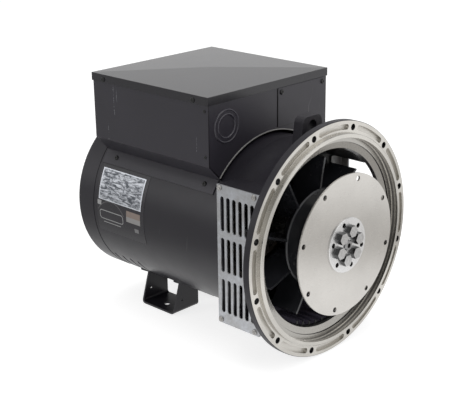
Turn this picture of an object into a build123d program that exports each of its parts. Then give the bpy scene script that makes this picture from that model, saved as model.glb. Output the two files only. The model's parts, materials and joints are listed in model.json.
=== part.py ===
"""Single-bearing generator alternator head with a no. 4 housing flange.

Frame: the origin is the centre of the flange face on the shaft axis, +X runs along the
shaft towards the engine and +Z is up. Angles on a circle about the shaft run from +Y
towards +Z, as a sketch on Plane.YZ measures them. All sizes are in millimetres.
"""

from build123d import *

import os
from math import asin, atan2, cos, degrees, radians, sin, sqrt

os.makedirs("parts", exist_ok=True)

# ---------------------------------------------------------------- driving dimensions
# engine housing flange, no. 4 size
FLANGE_R = 403.4 / 2
FLANGE_PCD_R = 381.0 / 2
FLANGE_HOLES = 12
FLANGE_HOLE_R = 5.5
REGISTER_R = 361.95 / 2
REGISTER_H = 6.0
RIM_T = 12.0
# flexible coupling discs, 7 1/2 inch size
DISC_R = 241.3 / 2
DISC_PCD_R = 222.25 / 2
DISC_HOLES = 8
DISC_HOLE_R = 4.5
DISC_TURN = 75.9
DISC_T = 1.0
DISC_COUNT = 3
DISC_GAP = 0.03
DISC_FACE_X = 30.2
# casing, rear cover and feet
CASING_R = 156.0
CASING_T = 4.0
CASING_FRONT_X = -110.0
CASING_REAR_X = -427.0
COVER_REAR_X = -473.0
COVER_T = 3.0
FEET_Z = -200.0
FOOT_X0 = -385.0
FOOT_X1 = -298.0
FOOT_T = 3.5
# terminal box
LID_X0 = -423.0
LID_X1 = -136.5
LID_HALF_Y = 148.0
LID_EDGE_Z = 247.0
LID_APEX_Z = 252.0
LID_SKIRT = 14.0
SHEET = 1.5
BOX_X0 = LID_X0 + 2.0
BOX_X1 = LID_X1 - 1.5
BOX_HALF_Y = LID_HALF_Y - 1.5
BOX_FOLD_Z = 131.0
# shaft, stator and fan
SHAFT_R = 30.0
CORE_X0 = -335.0
CORE_X1 = -185.0
CORE_BORE_R = 92.0
AIR_GAP = 1.0
FAN_TIP_R = 136.0
FAN_BLADES = 9
FAN_X0 = -84.0
FAN_X1 = -26.0

CLEAR = 0.2
CASING_BORE_R = CASING_R - CASING_T
FIT_R = CASING_BORE_R - CLEAR
DISC_REAR_X = DISC_FACE_X - DISC_T * DISC_COUNT


def write(builder, node):
    """Label one finished sub-part and write it as its own STEP file."""
    builder.part.label = node
    export_step(builder.part, f"parts/{node}.step")


def yz(x):
    """Sketch plane across the shaft at x, with +X as its normal."""
    return Plane.YZ.offset(x)


def polar(radius, angle):
    """Y and Z of a point on a circle about the shaft."""
    return (radius * cos(radians(angle)), radius * sin(radians(angle)))


def ring_sector(r_in, r_out, start, size):
    """Flat sector of a ring, for slots and bands that follow a circle about the shaft."""
    with BuildSketch(Plane.XY) as sector:
        with BuildLine():
            CenterArc((0, 0), r_out, start, size)
            CenterArc((0, 0), r_in, start, size)
            Line(polar(r_in, start), polar(r_out, start))
            Line(polar(r_in, start + size), polar(r_out, start + size))
        make_face()
    return sector.sketch


# ---------------------------------------------------------------- drive-end bracket
BRACKET_BORE_R = 150.5
SPIGOT_X0 = CASING_FRONT_X - 12.0
SPIGOT_BORE_R = 140.0
FLARE_X0 = -80.0
FLARE_END_R = 180.0
FLARE_R = ((FLARE_X0 + RIM_T) ** 2 + (FLARE_END_R - CASING_R) ** 2) / (2 * (FLARE_END_R - CASING_R))
FLARE_MID_X = (FLARE_X0 - RIM_T) / 2
FLARE_MID_R = CASING_R + FLARE_R - sqrt(FLARE_R**2 - (FLARE_MID_X - FLARE_X0) ** 2)
# stepped mouth, from the register's inner edge down to the throat
MOUTH_R = 174.0
MOUTH_FLOOR_X = -7.0
MOUTH_STEP_R = 164.5
THROAT_R = 153.3
THROAT_X = -12.5
# square air ducts on both sides
DUCT_HALF_Y = 156.0
DUCT_TOP_Z = 112.0
DUCT_LOW_Z = -125.0
DUCT_T = 6.0
DUCT_EDGE_R = 8.0
WINDOW_X0 = -103.0
WINDOW_X1 = -24.0
WINDOW_TOP_Z = 96.0
WINDOW_LOW_Z = -109.0
# blind pockets in the flange face between the bolt holes
POCKET_W = 9.0
POCKET_DEPTH = 6.0
POCKET_MARGIN = 5.0
# ribs along the floor of the bracket
RIB_H = 5.0
RIB_W = 4.5
RIB_PITCH = 6.5
RIB_COUNT = 9
RIB_X0 = -76.0
RIB_X1 = -19.0
# lifting lug
LUG_X0 = -64.0
LUG_X1 = -45.0
LUG_TOP_Z = 205.0
LUG_FOOT_HALF_Y = 30.0
LUG_TOP_HALF_Y = 22.0
LUG_CORNER_R = 12.0
LUG_EYE_Z = 188.0
LUG_EYE_R = 10.5
# grille and outlet frame fixings
GUARD_T = 2.0
GUARD_X0 = -110.0
GUARD_X1 = -18.0
GUARD_TOP_Z = 114.0
GUARD_LOW_Z = -127.0
GUARD_SCREWS = [(-104, 108), (-29, 108), (-104, -121), (-29, -121)]
SCREW_R = 2.0
SCREW_HOLE_R = SCREW_R + CLEAR
TIE_R = 145.5
TIE_ROD_R = 4.0
TIE_HOLE_DEPTH = 11.0
TIE_ANGLES = [45, 135, 225, 315]

hole_angles = [15 + 30 * i for i in range(FLANGE_HOLES)]

with BuildPart() as drive_end_bracket:
    # turned form: spigot, barrel, flare, rim, register and stepped mouth
    with BuildSketch(Plane.XZ):
        with BuildLine():
            Polyline(
                (SPIGOT_X0, SPIGOT_BORE_R),
                (SPIGOT_X0, FIT_R),
                (CASING_FRONT_X, FIT_R),
                (CASING_FRONT_X, CASING_R),
                (FLARE_X0, CASING_R),
            )
            ThreePointArc(
                (FLARE_X0, CASING_R),
                (FLARE_MID_X, FLARE_MID_R),
                (-RIM_T, FLARE_END_R),
            )
            Polyline(
                (-RIM_T, FLARE_END_R),
                (-RIM_T, FLANGE_R),
                (-1, FLANGE_R),
                (0, FLANGE_R - 1),
                (0, REGISTER_R),
                (REGISTER_H - 1.2, REGISTER_R),
                (REGISTER_H, REGISTER_R - 1.2),
                (REGISTER_H, MOUTH_R),
                (MOUTH_FLOOR_X, MOUTH_R + 0.6),
                (MOUTH_FLOOR_X, MOUTH_STEP_R + 0.5),
                (MOUTH_FLOOR_X - 2.5, MOUTH_STEP_R),
                (THROAT_X, THROAT_R),
                (WINDOW_X1 + 4, BRACKET_BORE_R),
                (CASING_FRONT_X + 12, BRACKET_BORE_R),
                (CASING_FRONT_X + 2, SPIGOT_BORE_R),
                (SPIGOT_X0, SPIGOT_BORE_R),
            )
        make_face()
    revolve(axis=Axis.X)
    # flats on both sides of the flare, where the guards lie
    for side in (1, -1):
        with BuildSketch(Plane.XZ.offset(side * DUCT_HALF_Y)):
            with Locations(((CASING_FRONT_X + GUARD_X1 + 1) / 2, 0)):
                Rectangle(GUARD_X1 + 1 - CASING_FRONT_X, 2 * FLANGE_R)
        extrude(amount=side * (FLANGE_R - DUCT_HALF_Y), mode=Mode.SUBTRACT)
    # square duct on each side, rounded along its outer edges
    with BuildSketch(yz(CASING_FRONT_X)):
        with BuildLine():
            Polyline(
                (-DUCT_HALF_Y, DUCT_LOW_Z),
                (DUCT_HALF_Y, DUCT_LOW_Z),
                (DUCT_HALF_Y, DUCT_TOP_Z),
                (-DUCT_HALF_Y, DUCT_TOP_Z),
                close=True,
            )
        make_face()
        Circle(CASING_R - 1, mode=Mode.SUBTRACT)
        fillet([v for v in vertices() if abs(v.X) > CASING_R - 0.5], DUCT_EDGE_R)
    extrude(amount=-CASING_FRONT_X - RIM_T)
    # inside of the ducts, open to the barrel
    with BuildSketch(Plane.XZ):
        with Locations(((CASING_FRONT_X - RIM_T) / 2, (DUCT_TOP_Z + DUCT_LOW_Z) / 2)):
            Rectangle(
                -CASING_FRONT_X - RIM_T - 2 * DUCT_T,
                DUCT_TOP_Z - DUCT_LOW_Z - 2 * DUCT_T,
            )
    extrude(amount=DUCT_HALF_Y - DUCT_T, both=True, mode=Mode.SUBTRACT)
    # side windows through the duct walls
    with BuildSketch(Plane.XZ):
        with Locations(((WINDOW_X0 + WINDOW_X1) / 2, (WINDOW_TOP_Z + WINDOW_LOW_Z) / 2)):
            RectangleRounded(WINDOW_X1 - WINDOW_X0, WINDOW_TOP_Z - WINDOW_LOW_Z, 4)
    extrude(amount=DUCT_HALF_Y + 1, both=True, mode=Mode.SUBTRACT)
    # tapped holes for the guards
    for side in (1, -1):
        with BuildSketch(Plane.XZ.offset(side * DUCT_HALF_Y)):
            with Locations(GUARD_SCREWS):
                Circle(SCREW_HOLE_R)
        extrude(amount=-side * DUCT_T, mode=Mode.SUBTRACT)
    # lifting lug, standing on the barrel
    with BuildSketch(yz(LUG_X0)):
        with BuildLine():
            Polyline(
                (-LUG_FOOT_HALF_Y, CASING_R - 4),
                (-LUG_TOP_HALF_Y, LUG_TOP_Z),
                (LUG_TOP_HALF_Y, LUG_TOP_Z),
                (LUG_FOOT_HALF_Y, CASING_R - 4),
                close=True,
            )
        make_face()
        fillet(vertices().group_by(Axis.Y)[-1], LUG_CORNER_R)
        with Locations((0, LUG_EYE_Z)):
            Circle(LUG_EYE_R, mode=Mode.SUBTRACT)
    extrude(amount=LUG_X1 - LUG_X0)
    # stiffening ribs on the floor
    with BuildSketch(yz(RIB_X0)):
        for i in range(RIB_COUNT):
            angle = -90 + RIB_PITCH * (i - (RIB_COUNT - 1) / 2)
            with Locations(polar(BRACKET_BORE_R - RIB_H / 2 + 1, angle)):
                Rectangle(RIB_H + 2, RIB_W, rotation=angle)
    extrude(amount=RIB_X1 - RIB_X0)
    # flange bolt holes
    with BuildSketch(yz(0)):
        with Locations([polar(FLANGE_PCD_R, a) for a in hole_angles]):
            Circle(FLANGE_HOLE_R)
    extrude(amount=-RIM_T, mode=Mode.SUBTRACT)
    # blind pockets between the holes
    with BuildSketch(yz(0)):
        for angle in hole_angles:
            SlotArc(
                CenterArc((0, 0), FLANGE_PCD_R, angle + POCKET_MARGIN, 30 - 2 * POCKET_MARGIN),
                POCKET_W,
            )
    extrude(amount=-POCKET_DEPTH, mode=Mode.SUBTRACT)
    # tie rod holes in the spigot ring
    with BuildSketch(yz(SPIGOT_X0)):
        with Locations([polar(TIE_R, a) for a in TIE_ANGLES]):
            Circle(TIE_ROD_R + CLEAR)
    extrude(amount=TIE_HOLE_DEPTH, mode=Mode.SUBTRACT)
write(drive_end_bracket, "drive_end_bracket")

# ---------------------------------------------------------------- casing
VENT_X = [-415.5, -394.5, -373.5, -352.5]
VENT_W = 4.5
VENT_START = -38.6
VENT_SIZE = -18.5
LEADS_X = -290.0
LEADS_SIZE = (80.0, 90.0)
LEADS_CORNER_R = 10.0
STRIP_SCREW_X = [-391.0, -168.7]
STRIP_SCREW_ANGLE = 36.0

vent_sectors = [
    ring_sector(CASING_BORE_R - 2, CASING_R + 2, VENT_START, VENT_SIZE),
    ring_sector(CASING_BORE_R - 2, CASING_R + 2, 180 - VENT_START, -VENT_SIZE),
]
strip_angles = [STRIP_SCREW_ANGLE, 180 - STRIP_SCREW_ANGLE]

with BuildPart() as stator_casing:
    with BuildSketch(yz(CASING_REAR_X)):
        Circle(CASING_R)
        Circle(CASING_BORE_R, mode=Mode.SUBTRACT)
    extrude(amount=CASING_FRONT_X - CASING_REAR_X)
    # air inlet slots low down near the rear
    for x in VENT_X:
        with BuildSketch(yz(x - VENT_W / 2)):
            add(vent_sectors)
        extrude(amount=VENT_W, mode=Mode.SUBTRACT)
    # passage for the leads, under the terminal box
    with BuildSketch(Plane.XY.offset(CASING_R + 2)):
        with Locations((LEADS_X, 0)):
            RectangleRounded(*LEADS_SIZE, LEADS_CORNER_R)
    extrude(amount=-5 * CASING_T, mode=Mode.SUBTRACT)
    # tapped holes for the box's fixing strips
    for angle in strip_angles:
        direction = Vector(0, *polar(1, angle))
        for x in STRIP_SCREW_X:
            with BuildSketch(Plane(origin=Vector(x, 0, 0) + direction * CASING_R, z_dir=direction)):
                Circle(SCREW_HOLE_R)
            extrude(amount=-CASING_T - 1, mode=Mode.SUBTRACT)
write(stator_casing, "stator_casing")

# ---------------------------------------------------------------- rear shield and bearing
BEARING_X = -418.0
BEARING_W = 18.0
BEARING_OD_R = 40.0
BEARING_BORE_R = 20.0
RACE_OUT_R = 34.0
RACE_IN_R = 26.0
BALL_R = 6.0
BALL_COUNT = 9
BALL_PITCH_R = 30.0
SEAM_T = 0.8
LIP_R = CASING_R - 1.0
POST_PCD_R = 120.0
POST_R = 8.0
POST_BORE_R = 3.2
POST_BORE_DEPTH = 22.0
POST_ANGLES = [30, 150, 210, 330]
SHIELD_X0 = -425.0
SHIELD_X1 = -418.0
SHIELD_RIM_X1 = -412.0
SHIELD_RIM_R = 140.0
SEAT_X1 = -390.0
SEAT_WALL = 6.0
BOSS_R = 52.0
BOSS_BORE_R = 30.0
BEARING_FIT = 0.02
COVER_FRONT_X = CASING_REAR_X - SEAM_T
EXCITER_X0 = -404.0
EXCITER_X1 = -384.0
EXCITER_R = 96.0
bearing_x0 = BEARING_X - BEARING_W / 2
bearing_x1 = BEARING_X + BEARING_W / 2
spoke_openings = [ring_sector(56, 92, 10 + 90 * i, 70) for i in range(4)]
outer_openings = [ring_sector(106, 136, 42 + 60 * i, 36) for i in range(6)]
post_points = [polar(POST_PCD_R, a) for a in POST_ANGLES]
tie_points = [polar(TIE_R, a) for a in TIE_ANGLES]

with BuildPart() as rear_shield:
    with BuildSketch(Plane.XZ):
        with BuildLine():
            Polyline(
                (bearing_x0 - 5, BOSS_BORE_R),
                (bearing_x0 - 5, BOSS_R - 2),
                (SHIELD_X0, BOSS_R),
                (SHIELD_X0, SHIELD_RIM_R),
                (COVER_FRONT_X, SHIELD_RIM_R),
                (COVER_FRONT_X, LIP_R),
                (CASING_REAR_X, LIP_R),
                (CASING_REAR_X, FIT_R),
                (SHIELD_RIM_X1, FIT_R),
                (SHIELD_RIM_X1, SHIELD_RIM_R),
                (SHIELD_X1, SHIELD_RIM_R - 2),
                (SHIELD_X1, EXCITER_R + SEAT_WALL),
                (SEAT_X1, EXCITER_R + SEAT_WALL),
                (SEAT_X1, EXCITER_R + CLEAR),
                (SHIELD_X1, EXCITER_R + CLEAR),
                (SHIELD_X1, BOSS_R),
                (bearing_x1 + 1, BOSS_R - 2),
                (bearing_x1 + 1, BEARING_OD_R + BEARING_FIT),
                (bearing_x0 - 1.5, BEARING_OD_R + BEARING_FIT),
                (bearing_x0 - 1.5, BOSS_BORE_R),
                close=True,
            )
        make_face()
    revolve(axis=Axis.X)
    # air passages between the spokes
    with BuildSketch(yz(SHIELD_X0 - 1)):
        add(spoke_openings)
        add(outer_openings)
    extrude(amount=SHIELD_X1 - SHIELD_X0 + 3, mode=Mode.SUBTRACT)
    # posts that carry the rear cover
    with BuildSketch(yz(COVER_REAR_X + COVER_T)):
        with Locations(post_points):
            Circle(POST_R)
    extrude(amount=SHIELD_X1 - 2 - COVER_REAR_X - COVER_T)
    with BuildSketch(yz(COVER_REAR_X)):
        with Locations(post_points):
            Circle(POST_BORE_R)
    extrude(amount=POST_BORE_DEPTH, mode=Mode.SUBTRACT)
    # tie rod holes through the rim
    with BuildSketch(yz(COVER_FRONT_X)):
        with Locations(tie_points):
            Circle(TIE_ROD_R + CLEAR)
    extrude(amount=SHIELD_RIM_X1 - COVER_FRONT_X + 4, mode=Mode.SUBTRACT)
write(rear_shield, "rear_shield")

with BuildPart() as bearing_outer_ring:
    with BuildSketch(Plane.XZ):
        with Locations((BEARING_X, (BEARING_OD_R + RACE_OUT_R) / 2)):
            Rectangle(BEARING_W, BEARING_OD_R - RACE_OUT_R)
        with Locations((BEARING_X, BALL_PITCH_R)):
            Circle(BALL_R + 0.3, mode=Mode.SUBTRACT)
    revolve(axis=Axis.X)
write(bearing_outer_ring, "bearing_outer_ring")

with BuildPart() as bearing_inner_ring:
    with BuildSketch(Plane.XZ):
        with Locations((BEARING_X, (BEARING_BORE_R + RACE_IN_R) / 2)):
            Rectangle(BEARING_W, RACE_IN_R - BEARING_BORE_R)
        with Locations((BEARING_X, BALL_PITCH_R)):
            Circle(BALL_R + 0.05, mode=Mode.SUBTRACT)
    revolve(axis=Axis.X)
write(bearing_inner_ring, "bearing_inner_ring")

with BuildPart() as bearing_balls:
    with Locations([(BEARING_X, *polar(BALL_PITCH_R, 360 / BALL_COUNT * i)) for i in range(BALL_COUNT)]):
        Sphere(BALL_R)
write(bearing_balls, "bearing_balls")

with BuildPart() as preload_washer:
    with BuildSketch(yz(bearing_x0 - 1.4)):
        Circle(BEARING_OD_R - 1)
        Circle(RACE_OUT_R + 0.5, mode=Mode.SUBTRACT)
    extrude(amount=1.3)
write(preload_washer, "preload_washer")

# ---------------------------------------------------------------- rear cover
COVER_R = CASING_R + 0.5
COVER_EDGE = 7.0
LOUVRE_H = 6.0
LOUVRE_PITCH = 15.0
LOUVRE_FIELD_R = 104.0
LOUVRE_MARGIN = 9.0
COVER_SCREW_R = 3.0
COVER_SCREW_AF_R = 5.0
COVER_SCREW_HEAD_H = 4.0
COVER_SCREW_L = 20.0
TIE_NUT_AF_R = 6.4
TIE_NUT_H = 7.0

with BuildPart() as rear_cover:
    with BuildSketch(Plane.XZ):
        with BuildLine():
            Polyline(
                (COVER_FRONT_X, COVER_R - COVER_T),
                (COVER_FRONT_X, COVER_R),
                (COVER_REAR_X + COVER_EDGE, COVER_R),
            )
            RadiusArc(
                (COVER_REAR_X + COVER_EDGE, COVER_R),
                (COVER_REAR_X, COVER_R - COVER_EDGE),
                -COVER_EDGE,
            )
            Polyline(
                (COVER_REAR_X, COVER_R - COVER_EDGE),
                (COVER_REAR_X, 0),
                (COVER_REAR_X + COVER_T, 0),
                (COVER_REAR_X + COVER_T, COVER_R - COVER_EDGE),
            )
            RadiusArc(
                (COVER_REAR_X + COVER_T, COVER_R - COVER_EDGE),
                (COVER_REAR_X + COVER_EDGE, COVER_R - COVER_T),
                COVER_EDGE - COVER_T,
            )
            Line((COVER_REAR_X + COVER_EDGE, COVER_R - COVER_T), (COVER_FRONT_X, COVER_R - COVER_T))
        make_face()
    revolve(axis=Axis.X)
    # rows of inlet slots in the end face, left and right of a plain middle
    with BuildSketch(yz(COVER_REAR_X - 1)):
        for row in range(-6, 7):
            z = row * LOUVRE_PITCH
            half = sqrt(LOUVRE_FIELD_R**2 - z**2)
            for side in (1, -1):
                with Locations((side * (half + LOUVRE_MARGIN) / 2, z)):
                    SlotOverall(half - LOUVRE_MARGIN, LOUVRE_H)
    extrude(amount=COVER_T + 2, mode=Mode.SUBTRACT)
    with BuildSketch(yz(COVER_REAR_X - 1)):
        with Locations(post_points):
            Circle(COVER_SCREW_R + 2 * CLEAR)
    extrude(amount=COVER_T + 2, mode=Mode.SUBTRACT)
write(rear_cover, "rear_cover")

with BuildPart() as rear_cover_screws:
    with BuildSketch(yz(COVER_REAR_X)):
        with Locations(post_points):
            RegularPolygon(COVER_SCREW_AF_R, 6, major_radius=False)
    extrude(amount=-COVER_SCREW_HEAD_H)
    with BuildSketch(yz(COVER_REAR_X)):
        with Locations(post_points):
            Circle(COVER_SCREW_R)
    extrude(amount=COVER_SCREW_L)
write(rear_cover_screws, "rear_cover_screws")

with BuildPart() as tie_rods:
    with BuildSketch(yz(COVER_FRONT_X)):
        with Locations(tie_points):
            RegularPolygon(TIE_NUT_AF_R, 6, major_radius=False, rotation=15)
    extrude(amount=-TIE_NUT_H)
    with BuildSketch(yz(COVER_FRONT_X)):
        with Locations(tie_points):
            Circle(TIE_ROD_R)
    extrude(amount=SPIGOT_X0 + 10 - COVER_FRONT_X)
write(tie_rods, "tie_rods")

# ---------------------------------------------------------------- stator
STATOR_SLOTS = 36
SLOT_W = 7.0
SLOT_R = 114.0
END_TURN_IN_R = 97.0
END_TURN_OUT_R = 130.0
END_TURN_L = 44.0
END_TURN_EDGE_R = 12.0
EXCITER_BORE_R = 62.0

with BuildPart() as stator_core:
    with BuildSketch(yz(CORE_X0)):
        Circle(FIT_R)
        Circle(CORE_BORE_R, mode=Mode.SUBTRACT)
        with PolarLocations((CORE_BORE_R + SLOT_R) / 2, STATOR_SLOTS):
            Rectangle(SLOT_R - CORE_BORE_R + 2, SLOT_W, mode=Mode.SUBTRACT)
        with Locations(tie_points):
            Circle(TIE_ROD_R + 1, mode=Mode.SUBTRACT)
    extrude(amount=CORE_X1 - CORE_X0)
write(stator_core, "stator_core")

with BuildPart() as stator_windings:
    for x_face, outward in ((CORE_X1, 1), (CORE_X0, -1)):
        with BuildSketch(Plane.XZ) as end_turn:
            with Locations((x_face + outward * END_TURN_L / 2, (END_TURN_IN_R + END_TURN_OUT_R) / 2)):
                Rectangle(END_TURN_L, END_TURN_OUT_R - END_TURN_IN_R)
            far_corners = end_turn.vertices().group_by(Axis.X)[-1 if outward > 0 else 0]
            fillet(far_corners, END_TURN_EDGE_R)
        revolve(axis=Axis.X)
write(stator_windings, "stator_windings")

with BuildPart() as exciter_stator:
    with BuildSketch(yz(EXCITER_X0)):
        Circle(EXCITER_R)
        Circle(EXCITER_BORE_R, mode=Mode.SUBTRACT)
    extrude(amount=EXCITER_X1 - EXCITER_X0)
write(exciter_stator, "exciter_stator")

# ---------------------------------------------------------------- rotor
SHAFT_REAR_X = -452.0
SHAFT_TAIL_R = 17.0
SHAFT_SHOULDER_X = -345.0
SHAFT_SHOULDER_R = 25.0
CENTRE_HOLE_R = 4.0
ROTOR_COIL_H = 16.0
EXCITER_GAP = 0.8
RECTIFIER_X0 = -446.0
RECTIFIER_R = 44.0
RECTIFIER_T = 5.0
DIODE_PCD_R = 34.0
DIODE_R = 5.0
DIODE_H = 4.0
HUB_X0 = -22.0
HUB_R = 47.0
HUB_BORE_END_X = 10.0
NOSE_R = 9.0
NOSE_X = 36.0
BOLT_PCD_R = 24.5
BOLT_ANGLES = [76 - 60 * i for i in range(6)]
BOLT_R = 6.0
BOLT_END_X = 12.0
BOLT_AF_R = 9.0
BOLT_HEAD_H = 7.5
BOLT_EDGE = 0.7
PLATE_T = 2.8
PLATE_HOLE_PCD_R = 38.2
PLATE_HOLE_R = 4.2
PLATE_HOLE_ANGLES = [46 - 60 * i for i in range(6)]
PLATE_FACE_X = DISC_FACE_X + PLATE_T
ROTOR_R = CORE_BORE_R - AIR_GAP
POLE_GAP_W = 46.0
POLE_FLOOR_R = 52.0
bolt_points = [polar(BOLT_PCD_R, a) for a in BOLT_ANGLES]
plate_points = [polar(PLATE_HOLE_PCD_R, a) for a in PLATE_HOLE_ANGLES]

with BuildPart() as shaft:
    with BuildSketch(Plane.XZ):
        with BuildLine():
            Polyline(
                (SHAFT_REAR_X, 0),
                (SHAFT_REAR_X, SHAFT_TAIL_R - 1),
                (SHAFT_REAR_X + 1, SHAFT_TAIL_R),
                (bearing_x0 - 3, SHAFT_TAIL_R),
                (bearing_x0 - 3, BEARING_BORE_R),
                (bearing_x1, BEARING_BORE_R),
                (bearing_x1, SHAFT_SHOULDER_R),
                (SHAFT_SHOULDER_X, SHAFT_SHOULDER_R),
                (SHAFT_SHOULDER_X, SHAFT_R),
                (HUB_BORE_END_X, SHAFT_R),
                (HUB_BORE_END_X, NOSE_R),
                (NOSE_X - 1, NOSE_R),
                (NOSE_X, NOSE_R - 1),
                (NOSE_X, CENTRE_HOLE_R),
                (NOSE_X - 12, CENTRE_HOLE_R),
                (NOSE_X - 14, 0),
                close=True,
            )
        make_face()
    revolve(axis=Axis.X)
write(shaft, "shaft")

with BuildPart() as rotor_core:
    with BuildSketch(yz(CORE_X0)):
        Circle(ROTOR_R)
        Circle(SHAFT_R, mode=Mode.SUBTRACT)
        with PolarLocations((POLE_FLOOR_R + ROTOR_R + 4) / 2, 4, start_angle=45):
            Rectangle(ROTOR_R + 4 - POLE_FLOOR_R, POLE_GAP_W, mode=Mode.SUBTRACT)
    extrude(amount=CORE_X1 - CORE_X0)
write(rotor_core, "rotor_core")

with BuildPart() as rotor_windings:
    with BuildSketch(yz(CORE_X0)):
        with PolarLocations((POLE_FLOOR_R + ROTOR_R - 6) / 2 + 1, 4, start_angle=45):
            Rectangle(ROTOR_R - 10 - POLE_FLOOR_R, POLE_GAP_W - 1)
    extrude(amount=CORE_X1 - CORE_X0)
    for x_start, length in ((CORE_X1, ROTOR_COIL_H), (CORE_X0, -ROTOR_COIL_H)):
        with BuildSketch(yz(x_start)):
            Circle(ROTOR_R - 8)
            Circle(SHAFT_R + 14, mode=Mode.SUBTRACT)
        extrude(amount=length)
write(rotor_windings, "rotor_windings")

with BuildPart() as exciter_rotor:
    with BuildSketch(yz(EXCITER_X0 + 2)):
        Circle(EXCITER_BORE_R - EXCITER_GAP)
        Circle(SHAFT_SHOULDER_R, mode=Mode.SUBTRACT)
    extrude(amount=EXCITER_X1 - EXCITER_X0 - 4)
write(exciter_rotor, "exciter_rotor")

with BuildPart() as rotating_rectifier:
    with BuildSketch(yz(RECTIFIER_X0)):
        Circle(RECTIFIER_R)
        Circle(SHAFT_TAIL_R, mode=Mode.SUBTRACT)
    extrude(amount=RECTIFIER_T)
    with BuildSketch(yz(RECTIFIER_X0 + RECTIFIER_T)):
        with PolarLocations(DIODE_PCD_R, 6):
            Circle(DIODE_R)
    extrude(amount=DIODE_H)
write(rotating_rectifier, "rotating_rectifier")

# ---------------------------------------------------------------- fan
FAN_HUB_X0 = -70.0
FAN_HUB_R = 48.0
FAN_PLATE_R = 84.0
FAN_PLATE_T = 6.0
BLADE_T = 4.0
BLADE_LEAN = 9.0
BLADE_MIDDLE_R = 94.0
FAN_START = 45.0

with BuildPart() as fan:
    with BuildSketch(Plane.XZ):
        with BuildLine():
            Polyline(
                (FAN_HUB_X0, SHAFT_R),
                (FAN_HUB_X0, FAN_HUB_R - 6),
                (FAN_HUB_X0 + 20, FAN_HUB_R),
                (FAN_X1 - FAN_PLATE_T, FAN_HUB_R + 4),
                (FAN_X1 - FAN_PLATE_T, FAN_PLATE_R - 2),
                (FAN_X1 - 2, FAN_PLATE_R),
                (FAN_X1, FAN_PLATE_R - 2),
                (FAN_X1, SHAFT_R),
                close=True,
            )
        make_face()
    revolve(axis=Axis.X)
    # leaning paddle blades, curved along their length
    with BuildSketch(yz(FAN_X0)):
        for i in range(FAN_BLADES):
            tip_angle = FAN_START - 360 / FAN_BLADES * i
            with BuildLine():
                root = polar(FAN_HUB_R - 2, tip_angle + BLADE_LEAN)
                middle = polar(BLADE_MIDDLE_R, tip_angle + BLADE_LEAN * 0.35)
                tip = polar(FAN_TIP_R - BLADE_T / 2, tip_angle)
                camber = ThreePointArc(root, middle, tip)
            SlotArc(camber, BLADE_T)
    extrude(amount=FAN_X1 - 1 - FAN_X0)
    # the bore is cleared again after the blades
    with BuildSketch(yz(FAN_X0 - 1)):
        Circle(SHAFT_R)
    extrude(amount=FAN_X1 - FAN_X0 + 2, mode=Mode.SUBTRACT)
write(fan, "fan")

# ---------------------------------------------------------------- coupling
with BuildPart() as coupling_hub:
    with BuildSketch(Plane.XZ):
        with BuildLine():
            Polyline(
                (HUB_X0, SHAFT_R),
                (HUB_X0, HUB_R - 4),
                (HUB_X0 + 4, HUB_R),
                (DISC_REAR_X, HUB_R),
                (DISC_REAR_X, NOSE_R + CLEAR),
                (HUB_BORE_END_X, NOSE_R + CLEAR),
                (HUB_BORE_END_X, SHAFT_R),
                close=True,
            )
        make_face()
    revolve(axis=Axis.X)
    with BuildSketch(yz(DISC_REAR_X)):
        with Locations(bolt_points):
            Circle(BOLT_R + 0.1)
        with Locations(plate_points):
            Circle(PLATE_HOLE_R)
    extrude(amount=BOLT_END_X - 1 - DISC_REAR_X, mode=Mode.SUBTRACT)
write(coupling_hub, "coupling_hub")

disc_holes = [polar(DISC_PCD_R, DISC_TURN - 360 / DISC_HOLES * i) for i in range(DISC_HOLES)]

with BuildPart() as coupling_discs:
    for i in range(DISC_COUNT):
        with BuildSketch(yz(DISC_REAR_X + DISC_T * i + DISC_GAP)):
            Circle(DISC_R)
            Circle(NOSE_R + CLEAR, mode=Mode.SUBTRACT)
            with Locations(bolt_points):
                Circle(BOLT_R + CLEAR, mode=Mode.SUBTRACT)
            with Locations(plate_points):
                Circle(PLATE_HOLE_R, mode=Mode.SUBTRACT)
            with Locations(disc_holes):
                Circle(DISC_HOLE_R, mode=Mode.SUBTRACT)
        extrude(amount=DISC_T - DISC_GAP)
    rims = coupling_discs.edges().filter_by(lambda edge: edge.bounding_box().size.Z > 2 * DISC_R - 1)
    chamfer(rims, 0.2)
write(coupling_discs, "coupling_discs")

with BuildPart() as clamp_plate:
    with BuildSketch(yz(DISC_FACE_X)):
        Circle(HUB_R)
        Circle(NOSE_R + CLEAR, mode=Mode.SUBTRACT)
        with Locations(bolt_points):
            Circle(BOLT_R + CLEAR, mode=Mode.SUBTRACT)
        with Locations(plate_points):
            Circle(PLATE_HOLE_R, mode=Mode.SUBTRACT)
    extrude(amount=PLATE_T)
    rims = clamp_plate.edges().filter_by(GeomType.CIRCLE).sort_by(SortBy.RADIUS)[-2:]
    chamfer(rims.sort_by(Axis.X)[-1], 0.6)
write(clamp_plate, "clamp_plate")

with BuildPart() as hub_bolts:
    with BuildSketch(yz(PLATE_FACE_X)):
        with Locations(bolt_points):
            RegularPolygon(BOLT_AF_R, 6, major_radius=False)
    extrude(amount=BOLT_HEAD_H)
    chamfer(hub_bolts.faces().sort_by(Axis.X)[-1:].edges(), BOLT_EDGE)
    with BuildSketch(yz(PLATE_FACE_X)):
        with Locations(bolt_points):
            Circle(BOLT_R)
    extrude(amount=BOLT_END_X - PLATE_FACE_X)
write(hub_bolts, "hub_bolts")

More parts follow.
